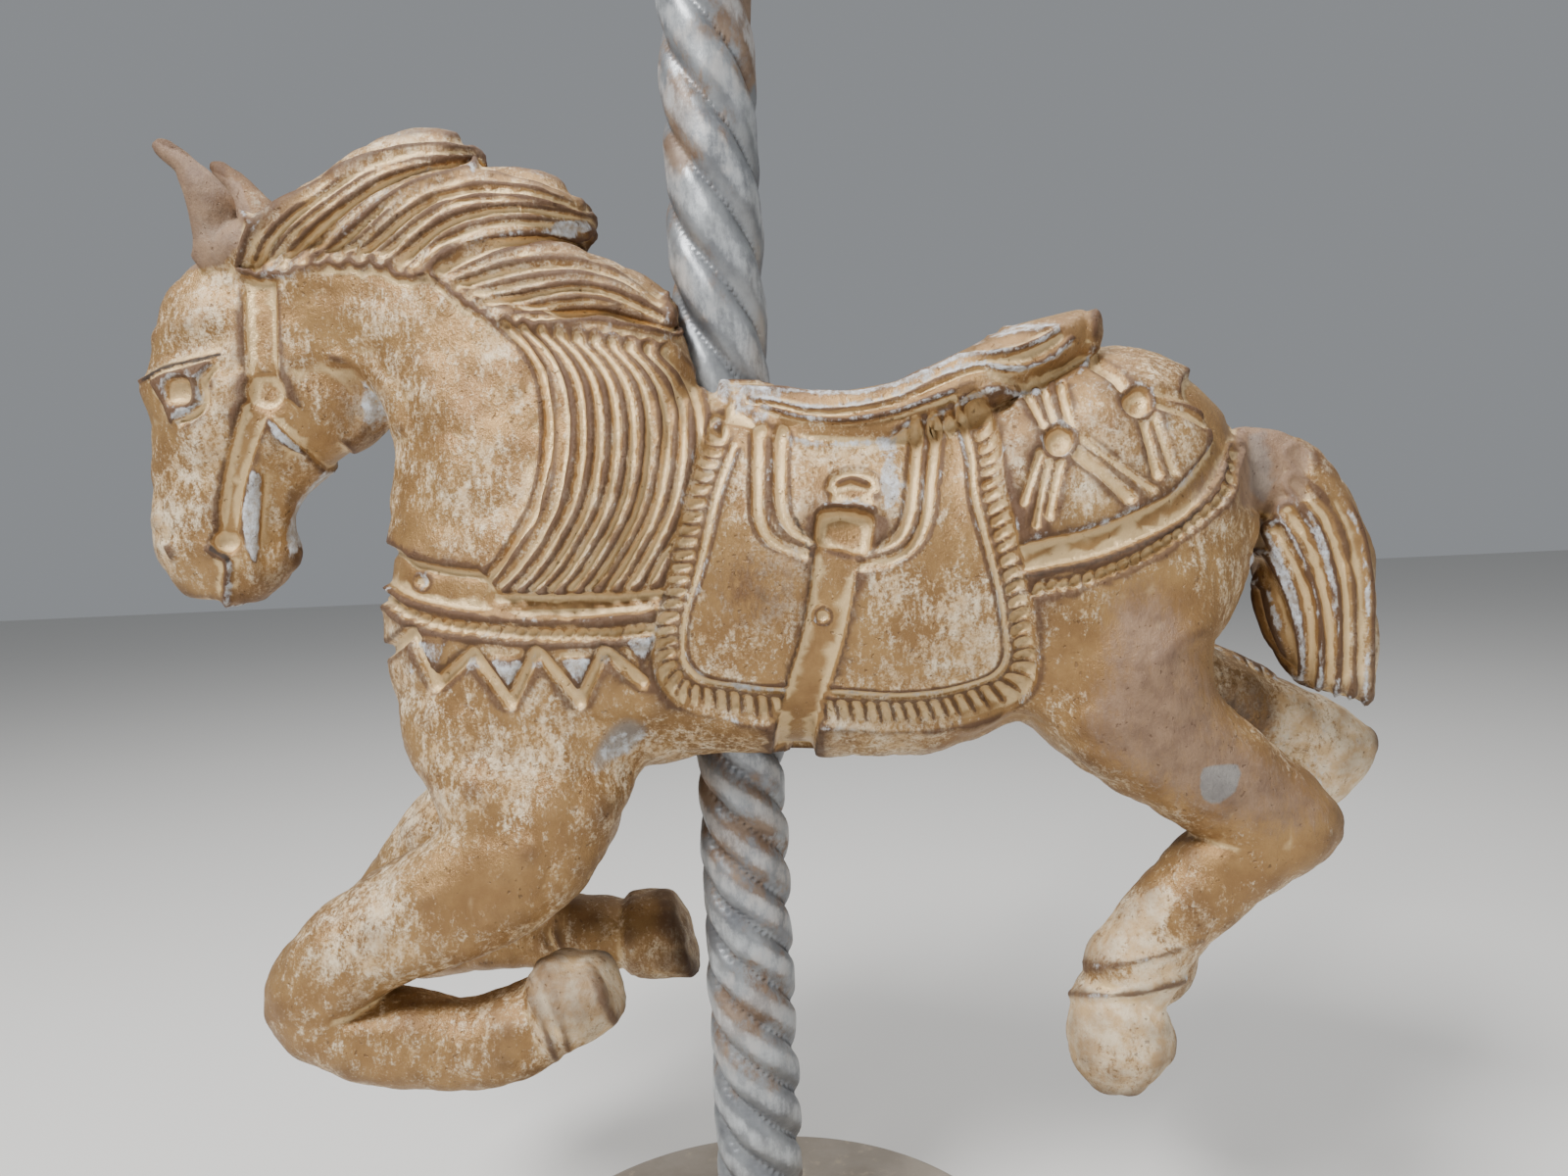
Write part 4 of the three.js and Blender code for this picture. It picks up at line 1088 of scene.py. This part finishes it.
    def tail(self) -> None:
        """The tail's long strands with white ground between them, below a lumpy dock."""
        sheet = self.sheet
        crest, region = sheet.blank(), sheet.blank()
        for strand in TAIL_STRANDS:
            crest = np.maximum(crest, sheet.strand(strand, 2.1, 1.7))
            region = np.maximum(region, sheet.band(strand, 3.6, 2.8, 1.0))
        below = ramp((226 - sheet.zs[:, None]) / 14)
        sheet.raise_by(region * (2.4 * crest - 1.9) * (0.35 + 0.65 * below))
        sheet.mark("white", region * ramp((0.45 - crest) / 0.3) * below, 0.85)
        dock = sheet.inside(((133, 243), (142, 242), (153, 233), (152, 220), (142, 216), (134, 219)), 3.0)
        sheet.raise_by(0.9 * dock)
        sheet.mark("mauve", dock, 0.8)
        putty = ((136, 238), (142, 240), (145, 226), (141, 218), (136, 222))
        sheet.mark("putty", sheet.inside(putty, 3.0), 0.5)

    def legs(self) -> None:
        """Grooves round the fetlocks and hooves, the hock's crease and the thigh's hollow."""
        sheet = self.sheet
        rings = (
            (((73, 93.6), (82, 90.4), (92, 88.6), (105, 89.6), (120, 93)), 1.3, 1.5),
            (((76, 102.6), (88, 97.8), (97, 96.8), (108, 98.6), (122, 103)), 1.2, 0.9),
            (((-54, 79), (-56.6, 90), (-61, 103)), 1.3, 1.4),
            (((-50.6, 81), (-53, 94), (-57.6, 107)), 1.2, 1.0),
            (((-36, 80), (-39.4, 92), (-44.4, 104)), 1.2, 0.8),
        )
        for line, half, depth in rings:
            ring = blurred(sheet.strand(line, half, half), 2.5)
            sheet.raise_by(-depth * ring)
            sheet.line_in("white", ring, 0.42)
        hooves = (
            ((76, 92), (114, 92), (114, 60), (76, 60)), ((-58, 80), (-62, 108), (-36, 116), (-30, 84)),
            ((90, 118), (116, 116), (104, 99), (84, 99)),
        )
        for hoof in hooves:
            sheet.mark("smooth", sheet.inside(hoof, 4.0), -1.0)
        crease = ((112.6, 134), (122, 133.4), (132, 134.2))
        fold = blurred(sheet.strand(crease, 1.3, 0.4), 3)
        sheet.raise_by(-1.4 * fold)
        # Painted shade: the hock's crease darkened.
        sheet.mark("dark", fold, 0.5)
        flank = ((110, 178), (117, 184), (124, 187))
        sheet.raise_by(-2.6 * blurred(sheet.strand(flank, 3.4, 2.0), 9))
        muscle = ((-63, 160), (-60, 148), (-66, 138))
        sheet.raise_by(1.2 * blurred(sheet.strand(muscle, 8, 6), 14))

    def stains(self) -> None:
        """Overpaint, putty, stains and bare places, as they are."""
        sheet = self.sheet
        thigh = ((97, 199), (116, 200), (121, 184), (134, 158), (156, 142), (160, 136), (152, 130),
                 (138, 132), (120, 138), (104, 148), (90, 160), (97, 178))
        patch = blurred(sheet.inside(thigh, 3, 3), 22)
        sheet.paint(patch, mauve=0.8, smooth=0.8)
        rump = ((117, 222), (128, 232), (133, 240), (132, 228), (124, 219))
        sheet.mark("mauve", sheet.inside(rump, 4), 0.55)
        putty = ((122.8, 149.6), (131, 150.6), (133.2, 148), (131, 142.6), (125.6, 139.6), (122.4, 143))
        sheet.mark("putty", sheet.inside(putty, 1.6, 4), 1.0)
        sheet.lay(sheet.inside(putty, 1.6, 4) * 0.5, 0.5)
        sheet.mark("brown", sheet.disc((7, 203), 12, 0.9, 12), 0.8)
        sheet.mark("dark", sheet.inside(((5, 204), (9, 205), (10, 200), (6, 197), (7, 201)), 1.6), 0.6)
        sheet.mark("brown", sheet.disc((-96, 254), 6, 1.4, 8), 0.65)
        sheet.mark("brown", sheet.disc((-40, 284), 12, 0.6, 12), 0.35)
        sheet.mark("brown", sheet.disc((70, 252), 8, 0.5, 6), 0.5)
        ear_patch = ((-150, 325), (-144, 326), (-128, 318), (-121, 305), (-123, 298), (-128, 293),
                     (-137, 292), (-136, 305), (-142, 316))
        sheet.mark("mauve", sheet.inside(ear_patch, 2.0), 1.0)
        sheet.mark("dark", sheet.inside(ear_patch, 3.0) * 0.8, 0.42)
        elbow = ((-36, 168), (-30, 172), (-22, 168), (-26, 162), (-34, 158), (-40, 152), (-41, 160))
        sheet.mark("putty", blurred(sheet.inside(elbow, 2.0), 6), 0.6)
        sheet.mark("white", blurred(sheet.inside(elbow, 2.0), 6), 0.6)
        seat = ((-8, 262), (-2, 262), (6, 256), (14, 247), (20, 240.4), (14, 241.4), (2, 249), (-6, 255))
        sheet.mark("white", sheet.inside(seat, 3.0), 0.6)
        tips = (
            ((-42, 300), (-33, 300.4), (-32, 297.6), (-38, 295.8), (-42, 297)),
            ((-63, 316), (-60, 316), (-61, 312.8)),
        )
        for tip in tips:
            sheet.mark("white", sheet.inside(tip, 1.2), 1.0)
            sheet.raise_by(-0.8 * sheet.inside(tip, 1.2))


# Finishes
def colour(code: int) -> tuple:
    """A hex sRGB colour as linear red, green, blue and 1."""
    parts = [((code >> shift) & 255) / 255 for shift in (16, 8, 0)]
    return (*[p / 12.92 if p <= 0.04045 else ((p + 0.055) / 1.055) ** 2.4 for p in parts], 1.0)


def add_node(tree: bpy.types.NodeTree, kind: str, inputs: dict | None = None, **settings):
    """A node with its inputs set or linked.

    Args:
        tree: The material's tree.
        kind: The node's type.
        inputs: Values or output sockets by the input's name or number.
        settings: The node's own options.
    Returns:
        The node.
    """
    node = tree.nodes.new(kind)
    for name, value in settings.items():
        setattr(node, name, value)
    for name, value in (inputs or {}).items():
        if isinstance(value, bpy.types.NodeSocket):
            tree.links.new(value, node.inputs[name])
        else:
            node.inputs[name].default_value = value
    return node


class Layers:
    """A material made of layers of colour, roughness and metal, each over the one before."""

    def __init__(self, name: str) -> None:
        """Starts an empty node material with Object coordinates in metres."""
        self.material = bpy.data.materials.new(name)
        self.material.use_nodes = True
        self.tree = self.material.node_tree
        self.tree.nodes.clear()
        self.place = add_node(self.tree, "ShaderNodeTexCoord").outputs["Object"]
        self.tint = self.rough = self.metal = None

    def attribute(self, name: str):
        """The piece's own number of that name."""
        return add_node(self.tree, "ShaderNodeAttribute", attribute_name=name).outputs["Fac"]

    def noise(self, size: float, detail: float = 4.0, rough: float = 0.6, stretch: tuple = (1, 1, 1)):
        """Noise whose patches are about size millimetres wide."""
        scaled = add_node(self.tree, "ShaderNodeVectorMath", {0: self.place, 1: stretch},
                          operation="MULTIPLY")
        return add_node(self.tree, "ShaderNodeTexNoise", {
            "Vector": scaled.outputs[0], "Scale": 1000 / size, "Detail": detail, "Roughness": rough,
        }).outputs["Fac"]

    def math(self, operation: str, a, b=0.0):
        """A sum, product or other operation on two values."""
        return add_node(self.tree, "ShaderNodeMath", {0: a, 1: b}, operation=operation).outputs[0]

    def between(self, value, low: float, high: float):
        """A smooth step of value from low to high."""
        return add_node(self.tree, "ShaderNodeMapRange", {
            "Value": value, "From Min": low, "From Max": high,
        }, interpolation_type="SMOOTHSTEP").outputs["Result"]

    def total(self, *terms: tuple):
        """The sum of values, each times its weight."""
        whole, *others = (self.math("MULTIPLY", value, weight) for value, weight in terms)
        for other in others:
            whole = self.math("ADD", whole, other)
        return whole

    def part(self, value, low: float, high: float, most: float):
        """A smooth step of value from low to high, which ends at most instead of 1."""
        return self.math("MULTIPLY", self.between(value, low, high), most)

    def blend(self, share, low, high):
        """The number low where share is 0 and high where it is 1."""
        return add_node(self.tree, "ShaderNodeMix", {0: share, 2: low, 3: high}).outputs[0]

    def dyed(self, share, low, high):
        """The colour low where share is 0 and high where it is 1."""
        return add_node(self.tree, "ShaderNodeMix", {0: share, 6: low, 7: high}, data_type="RGBA").outputs[2]

    def coat(self, share, tint: int | tuple, rough: float, metal: float) -> None:
        """Puts a coat over what is there where share is 1.

        Args:
            share: How much of the coat shows.
            tint: Its hex colour, or two of them and the size in millimetres of the noise that mixes them.
            rough: Its roughness.
            metal: How metallic it is.
        """
        if isinstance(tint, tuple):
            fine = self.between(self.noise(tint[2], 5, 0.65), 0.35, 0.65)
            shade = self.dyed(fine, colour(tint[0]), colour(tint[1]))
        else:
            shade = colour(tint)
        if self.tint is None:
            self.tint, self.rough, self.metal = shade, rough, metal
            return
        self.tint = self.dyed(share, self.tint, shade)
        self.rough = self.blend(share, self.rough, rough)
        self.metal = self.blend(share, self.metal, metal)

    def finish(self, bump, depth: float, strength: float = 0.5) -> bpy.types.Material:
        """Joins the coats to a shader with a fine grain.

        Args:
            bump: The grain's height, from 0 to 1.
            depth: The grain's depth in millimetres.
            strength: How much of it shows.
        Returns:
            The material.
        """
        grain = add_node(self.tree, "ShaderNodeBump", {
            "Height": bump, "Distance": depth * METRES, "Strength": strength,
        })
        shader = add_node(self.tree, "ShaderNodeBsdfPrincipled", {
            "Base Color": self.tint, "Roughness": self.rough, "Metallic": self.metal,
            "Normal": grain.outputs["Normal"],
        })
        add_node(self.tree, "ShaderNodeOutputMaterial", {"Surface": shader.outputs[0]})
        return self.material


@dataclass(frozen=True)
class GildedWood:
    """Bronze paint rubbed through to pale gesso over carved wood, with repairs left as they are, painted
    highlights on the crests and painted shade in hollows and creases.
    """

    gold: tuple = (0x8B6941, 0xA27F50, 14)
    # Pale gold for the crests: rubbed gold together with a painted highlight.
    worn_gold_and_highlight: int = 0xDCBE8C
    cream: tuple = (0xE8D6B6, 0xCFAE80, 4)
    # Dark brown: the wash in the cuts and pits, and painted shade over the broad hollows.
    patina_and_shade: int = 0x4E3320
    gesso: tuple = (0xCDD3DA, 0xA79F94, 2)
    mauve: tuple = (0x755C4A, 0x8C715A, 5)
    putty: tuple = (0x77726E, 0x8A857F, 5)
    stain: int = 0x5A3C24
    # Near black: real dark marks, and painted shade along creases, grooves and strap edges.
    dark: int = 0x231912

    def material(self) -> bpy.types.Material:
        """The material: a metallic coat that is worn pale in patches and dirty in the cuts, with painted
        highlights on the crests and painted shade in the wide hollows and creases.
        """
        layers = Layers("worn_gilding")
        cavity, smooth = layers.attribute("cavity"), layers.attribute("smooth")
        hollow, wide = layers.attribute("hollow"), layers.noise(30, 3, 0.55)
        middle = layers.noise(9, 4, 0.62, (1.0, 1.0, 0.7))
        streak = layers.noise(2.0, 5, 0.75, (1.0, 1.0, 0.5))
        speck = layers.noise(0.8, 3, 0.75)
        layers.coat(1.0, self.gold, 0.42, 0.5)
        worn = layers.total((wide, 0.6), (middle, 0.25), (streak, 0.75), (speck, 0.5), (smooth, -0.17))
        layers.coat(layers.part(worn, 1.0, 1.22, 0.9), self.cream, 0.6, 0.08)
        # Painted highlight with rubbed gold: paler gold wherever the surface bulges out.
        crest = layers.total((cavity, -1.0), (speck, 0.06))
        layers.coat(layers.part(crest, 0.08, 0.26, 0.85), self.worn_gold_and_highlight, 0.36, 0.35)
        cut = layers.total((cavity, 1.0), (streak, 0.12))
        layers.coat(layers.part(cut, 0.12, 0.36, 0.78), self.patina_and_shade, 0.7, 0.1)
        # Painted shade: dark brown laid over the broad hollows where parts meet.
        deep = layers.total((hollow, 1.0), (wide, 0.5))
        layers.coat(layers.part(deep, 0.55, 1.6, 0.55), self.patina_and_shade, 0.7, 0.1)
        brown = layers.math("MULTIPLY", layers.attribute("brown"), layers.between(streak, 0.3, 0.62))
        layers.coat(brown, self.stain, 0.55, 0.15)
        mauve = layers.total((layers.attribute("mauve"), 1.0), (streak, 1.0))
        layers.coat(layers.part(mauve, 0.75, 1.3, 0.9), self.mauve, 0.62, 0.1)
        layers.coat(layers.between(layers.attribute("putty"), 0.3, 0.7), self.putty, 0.7, 0.0)
        left = layers.total((layers.attribute("white"), 0.75), (middle, 1.1), (streak, 1.1))
        layers.coat(layers.part(left, 1.4, 1.72, 0.92), self.gesso, 0.78, 0.0)
        # Near black where the dark layer is: real dark marks together with painted shade in creases and under
        # bands.
        dirt_and_shade = layers.total((layers.attribute("dark"), 1.0), (speck, 0.35))
        layers.coat(layers.part(dirt_and_shade, 0.4, 0.95, 0.9), self.dark, 0.75, 0.0)
        pits = layers.between(layers.noise(1.5, 2, 0.5), 0.66, 0.74)
        layers.coat(layers.math("MULTIPLY", pits, 0.5), self.patina_and_shade, 0.8, 0.0)
        return layers.finish(layers.total((streak, 1.0), (speck, 0.35), (pits, -0.5)), 0.7, 0.65)


@dataclass(frozen=True)
class SilveredWood:
    """Silver paint on the twisted pole, with a painted pearly highlight on the crests, brown where it is worn
    and grime with painted shade in the grooves.
    """

    silver: tuple = (0x74767A, 0x95989A, 16)
    # Pale grey for a painted highlight on the crests of the twist.
    pearl_highlight: int = 0xD0D4D6
    brown: tuple = (0x6B5747, 0x83705F, 6)
    # Dark brown grey for grime and painted shade at the bottoms of the grooves.
    dirt_and_shade: int = 0x4A4038

    def material(self) -> bpy.types.Material:
        """The material: a soft metallic grey with painted highlights on the crests, worn brown patches, and
        grime and painted shade in the grooves.
        """
        layers = Layers("silvered_wood")
        groove, wide = layers.attribute("groove"), layers.noise(40, 3, 0.6)
        streak = layers.noise(3.2, 6, 0.7, (1.0, 1.0, 0.5))
        layers.coat(1.0, self.silver, 0.4, 0.55)
        worn = layers.total((wide, 1.0), (streak, 0.5))
        layers.coat(layers.between(worn, 0.74, 0.88), self.brown, 0.55, 0.2)
        # Painted highlight: pale grey on the crests, away from the grooves.
        crest_highlight = layers.total((streak, 0.4), (groove, -1.0))
        layers.coat(layers.part(crest_highlight, 0.12, 0.26, 0.55), self.pearl_highlight, 0.38, 0.2)
        # Grime and painted shade: darker at the bottoms of the grooves.
        cut = layers.total((groove, 1.0), (streak, 0.4))
        layers.coat(layers.part(cut, 0.95, 1.25, 0.6), self.dirt_and_shade, 0.7, 0.0)
        return layers.finish(streak, 0.4, 0.5)


@dataclass(frozen=True)
class PaintedWood:
    """Flat taupe paint on the turned base, dusty and rubbed in paler patches."""

    paint: tuple = (0x8A8073, 0x9A9083, 30)
    rubbed: int = 0xB3A48D

    def material(self) -> bpy.types.Material:
        """The material: matt paint with a little dust."""
        layers = Layers("taupe_paint")
        streak = layers.noise(5, 5, 0.65)
        layers.coat(1.0, self.paint, 0.6, 0.0)
        layers.coat(layers.part(streak, 0.56, 0.72, 0.6), self.rubbed, 0.65, 0.0)
        return layers.finish(streak, 0.25, 0.4)


# Pieces
HORSE_TRIANGLES = 196000
FAR_LEG_TOP, FAR_LEG_FADE = 172, 6


def on_far_leg(points: np.ndarray) -> np.ndarray:
    """The share of each point that lies on a far leg, which the near flank's drawing leaves out."""
    return (points[:, 1] > 0) * ramp((FAR_LEG_TOP - points[:, 2]) / FAR_LEG_FADE)


@dataclass
class Horse:
    """The carved horse, one piece of wood with its tack and hair."""

    skin: Skin | None = None
    sheet: Sheet | None = None
    bore_rim: float = 0.4
    bore_fade: float = 1.2
    wide_cuts: tuple = (15.0, 1.05)
    narrow_cuts: tuple = (7.0, 0.4)
    cuts_lost: float = 0.75
    cavity_rounds: int = 4
    hollow_rounds: int = 56

    def carve(self) -> None:
        """Joins the forms into one block and takes its surface."""
        block = Block()
        joins = (
            (TRUNK, 1.0), (NECK, 9.0), (FORELEG_NEAR, 8.0), (FORELEG_FAR, 8.0), (HIND_NEAR, 9.0),
            (HIND_FAR, 9.0),
            (TAIL, 3.0), (ear(-125.5, 296, -1, Side.NEAR), 3.0),
            (ear(-122.5, 297, -0.5, Side.FAR), 3.0), (SHOULDER_LOCKS, 3.0),
            *((form, 0.9) for form in reversed(MANE_FORMS)), (SADDLE, 0.9),
        )
        for form, blend in joins:
            block.add(form, blend)
        block.bore(BORE_RADIUS)
        self.skin = Skin(*block.surface())
        LOG.info("horse block has %d faces", len(self.skin.quads))

    def shape(self) -> None:
        """Smooths the block, leaves the gouge's marks and raises the relief from it."""
        skin = self.skin
        skin.smooth(5)
        normals = skin.normals()
        points = skin.points
        rim = BORE_RADIUS + self.bore_rim
        outside = ramp((np.hypot(points[:, 0], points[:, 1]) - rim) / self.bore_fade)
        (wide, deep), (narrow, shallow) = self.wide_cuts, self.narrow_cuts
        marks = hollows(points, wide, GOLDEN_SEED, deep)
        marks += hollows(points + 50, narrow, GOLDEN_SEED + 5, shallow)
        high = self.sheet.read(points, ("height",))[:, 0]
        marks *= 1 - self.cuts_lost * ramp(np.abs(high) - 0.2)
        skin.points = points + normals * ((high * (1 - on_far_leg(points)) + marks) * outside)[:, None]
        skin.smooth(1, 0.5)

    def build(self) -> bpy.types.Object:
        """Makes the horse's object, brought down to its share of triangles."""
        self.carve()
        self.sheet = Drawing().draw()
        self.shape()
        skin = self.skin
        normals, soft = skin.normals(), skin.points
        piece = new_object("carved_horse", skin.points, skin.quads)
        # How far the surface bends in, over a short and a wide reach; the material paints highlights and the
        # cuts' wash from the short one, and shade from the wide one.
        for name, rounds in (("cavity", self.cavity_rounds), ("hollow", self.hollow_rounds)):
            for _ in range(rounds):
                soft = skin.around(soft)
            set_share(piece.data, name, ((soft - skin.points) * normals).sum(axis=1))
        on_leg = on_far_leg(skin.points)
        far = self.far_marks(on_leg)
        for name, values in zip(FINISHES, self.sheet.read(skin.points, FINISHES).T):
            set_share(piece.data, name, values * (1 - on_leg) + far.get(name, 0))
        activate(piece)
        thin = piece.modifiers.new("fewer", "DECIMATE")
        thin.ratio = HORSE_TRIANGLES / (2 * len(skin.quads))
        bpy.ops.object.modifier_apply(modifier=thin.name)
        piece.data.shade_smooth()
        return piece

    def far_marks(self, on_leg: np.ndarray) -> dict:
        """The far legs' marks: a dark thigh, a rubbed hock and a front hoof darker towards its back.

        Args:
            on_leg: The share of each point that lies on a far leg.
        Returns:
            Values by the finish's name.
        """
        x, z = self.skin.points[:, 0], self.skin.points[:, 2]
        hind = on_leg * ramp((x - 96) / 8)
        thigh = hind * ramp((z - 146 + 0.35 * (x - 140)) / 6) * ramp((150 - x) / 8)
        hock = hind * ramp((x - 142) / 8)
        hoof = on_leg * ramp((x + 36) / 3) * ramp((10 - x) / 4) * ramp((124 - z) / 4)
        edge = hoof * ramp((x + 25) / 4)
        # Darker on the far thigh and at the back of the far front hoof.
        dark = 0.34 * thigh + 0.4 * edge
        return {"brown": 0.9 * thigh, "dark": dark, "white": 0.25 * hock, "smooth": -1.0 * hock}

    def dress(self, piece: bpy.types.Object) -> None:
        """Gives the horse its finish and its place in the frame."""
        piece.data.materials.append(GildedWood().material())
        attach(piece, "root")
        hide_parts("horse")


@dataclass
class Pole:
    """The twisted pole, from the base's top through the horse to its cut end."""

    strands: int = 4
    foot: float = 13.3
    top: float = 398.0
    shank: tuple = (168.0, 240.0)
    lower: tuple = (12.1, 52.0)
    upper: tuple = (12.7, 84.0)
    groove: float = 2.6
    around: int = 112
    rise: float = 1.3
    fullness: float = 0.85
    narrowness: float = 4.0
    slack: float = 0.35
    unevenness: float = 0.7
    waves: tuple = ((0.28, 5.3, 2, 1.7), (0.22, 2.7, -3, 0.0))
    rounding: tuple = ((-1, 0.86), (-2, 0.95))

    def build(self) -> bpy.types.Object:
        """Makes the pole's object."""
        heights = np.linspace(self.foot, self.top, int((self.top - self.foot) / self.rise))
        low, high = self.shank
        turn = 2 * math.pi * (np.minimum(heights, low) - self.foot) / self.lower[1]
        turn += 2 * math.pi * np.clip(heights - high, 0, None) / self.upper[1]
        twisted = 1 - ramp((heights - low) / 4) * ramp((high - heights) / 4)
        radius = np.where(heights < (low + high) / 2, self.lower[0], self.upper[0])
        angle = np.linspace(0, 2 * math.pi, self.around, endpoint=False)
        phase = (angle[None, :] + turn[:, None]) * self.strands / (2 * math.pi)
        depth = (np.abs(2 * (phase % 1) - 1) ** self.fullness) ** self.narrowness
        wobble = sum(
            rise * np.sin(heights[:, None] / length + turns * angle[None, :] + start)
            for rise, length, turns, start in self.waves
        )
        reach = radius[:, None] - self.groove * depth * twisted[:, None] - self.slack
        reach = np.minimum(reach + wobble * self.unevenness * twisted[:, None], radius[:, None])
        for ring, share in self.rounding:
            reach[ring] *= share
        rings = np.stack([
            reach * np.cos(angle), reach * np.sin(angle), np.repeat(heights[:, None], self.around, axis=1),
        ], axis=-1)
        ends = np.array([[0, 0, self.foot], [0, 0, self.top]])
        faces = halved(*tube(len(heights), self.around))
        piece = new_object("twisted_pole", np.vstack([rings.reshape(-1, 3), ends]), faces)
        set_share(piece.data, "groove", np.append((depth * twisted[:, None]).ravel(), [0.5, 0.5]))
        return piece

    def dress(self, piece: bpy.types.Object) -> None:
        """Gives the pole its finish and its place in the frame."""
        piece.data.materials.append(SilveredWood().material())
        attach(piece, "root")
        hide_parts("pole")


@dataclass
class Base:
    """The round base, a turned disc with an eased edge."""

    radius: float = 76.0
    thickness: float = 13.0
    ease: float = 4.0
    bends: int = 9
    flat: float = 40.0
    bevel: float = 0.6
    top_rings: tuple = (0.8, 0.5, 0.25)
    around: int = 160

    def build(self) -> bpy.types.Object:
        """Makes the base's object."""
        profile = [(self.flat, 0.0), (self.radius - self.bevel, 0.0), (self.radius, self.bevel)]
        profile += [
            (self.radius - self.ease * (1 - math.cos(t)), self.thickness - self.ease * (1 - math.sin(t)))
            for t in np.radians(np.linspace(0, 90, self.bends))
        ]
        profile += [(self.radius * share, self.thickness) for share in self.top_rings]
        angle = np.linspace(0, 2 * math.pi, self.around, endpoint=False)
        points = [
            np.stack([r * np.cos(angle), r * np.sin(angle), np.full(self.around, z)], axis=1)
            for r, z in profile
        ]
        points.append(np.array([[0, 0, 0], [0, 0, self.thickness]]))
        faces = halved(*tube(len(profile), self.around))
        return new_object("round_base", np.vstack(points), faces)

    def dress(self, piece: bpy.types.Object) -> None:
        """Gives the base its finish and its place in the frame."""
        piece.data.materials.append(PaintedWood().material())
        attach(piece, "root")
        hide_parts("base")


@dataclass
class Studio:
    """A plain pale floor, soft lights and the camera at the photograph's angle."""

    pitch: float = 4.0
    roll: float = 2.6
    lens: float = 27.045
    spot: tuple = (0.0136, -0.310, 0.2246)
    air: float = 0.45
    lamps: tuple = (
        ("key", 19.0, 0.3, (-0.4, -0.55, 1.0)), ("fill", 2.4, 0.9, (0.9, -0.7, 0.4)),
        ("top", 8.0, 0.6, (0.15, 0.15, 1.15)),
    )

    def floor(self) -> None:
        """Lays the floor."""
        bpy.ops.mesh.primitive_plane_add(size=6.0)
        floor = bpy.context.object
        floor.name = "studio_floor"
        layers = Layers("pale_floor")
        layers.coat(1.0, 0xD9D7D3, 0.8, 0.0)
        floor.data.materials.append(layers.finish(layers.noise(40), 0.1, 0.1))

    def lights(self) -> None:
        """Hangs a large soft light on the upper left, a fill on the right and one over the top."""
        world = bpy.data.worlds.new("studio_air")
        world.use_nodes = True
        sky = world.node_tree.nodes["Background"].inputs
        sky["Color"].default_value, sky["Strength"].default_value = colour(0xC9CDD2), self.air
        bpy.context.scene.world = world
        for name, power, size, place in self.lamps:
            data = bpy.data.lights.new(name, "AREA")
            data.energy, data.size = power, size
            lamp = bpy.data.objects.new(name, data)
            lamp.location = place
            aim = Vector((0.0, 0.0, 0.2)) - lamp.location
            lamp.rotation_euler = aim.to_track_quat("-Z", "Y").to_euler()
            bpy.context.scene.collection.objects.link(lamp)

    def camera(self) -> None:
        """Sets the camera up."""
        pitch, roll = math.radians(self.pitch), math.radians(self.roll)
        ahead = Vector((0, math.cos(pitch), -math.sin(pitch)))
        above = Vector((0, math.sin(pitch), math.cos(pitch)))
        right = Vector((1, 0, 0)) * math.cos(roll) - above * math.sin(roll)
        down = -Vector((1, 0, 0)) * math.sin(roll) - above * math.cos(roll)
        data = bpy.data.cameras.new("photo_camera")
        data.lens, data.sensor_width = self.lens, 36.0
        data.clip_start = 0.01
        camera = bpy.data.objects.new("photo_camera", data)
        matrix = Matrix((right, -down, -ahead)).transposed().to_4x4()
        matrix.translation = Vector(self.spot)
        camera.matrix_world = matrix
        bpy.context.scene.collection.objects.link(camera)
        bpy.context.scene.camera = camera


def main() -> None:
    """Builds and dresses the pieces in order, then the studio."""
    for maker in (Base(), Pole(), Horse()):
        piece = maker.build()
        maker.dress(piece)
        LOG.info("%s has %d faces", piece.name, len(piece.data.polygons))
    studio = Studio()
    studio.floor()
    studio.lights()
    studio.camera()


if __name__ == "__main__":
    main()
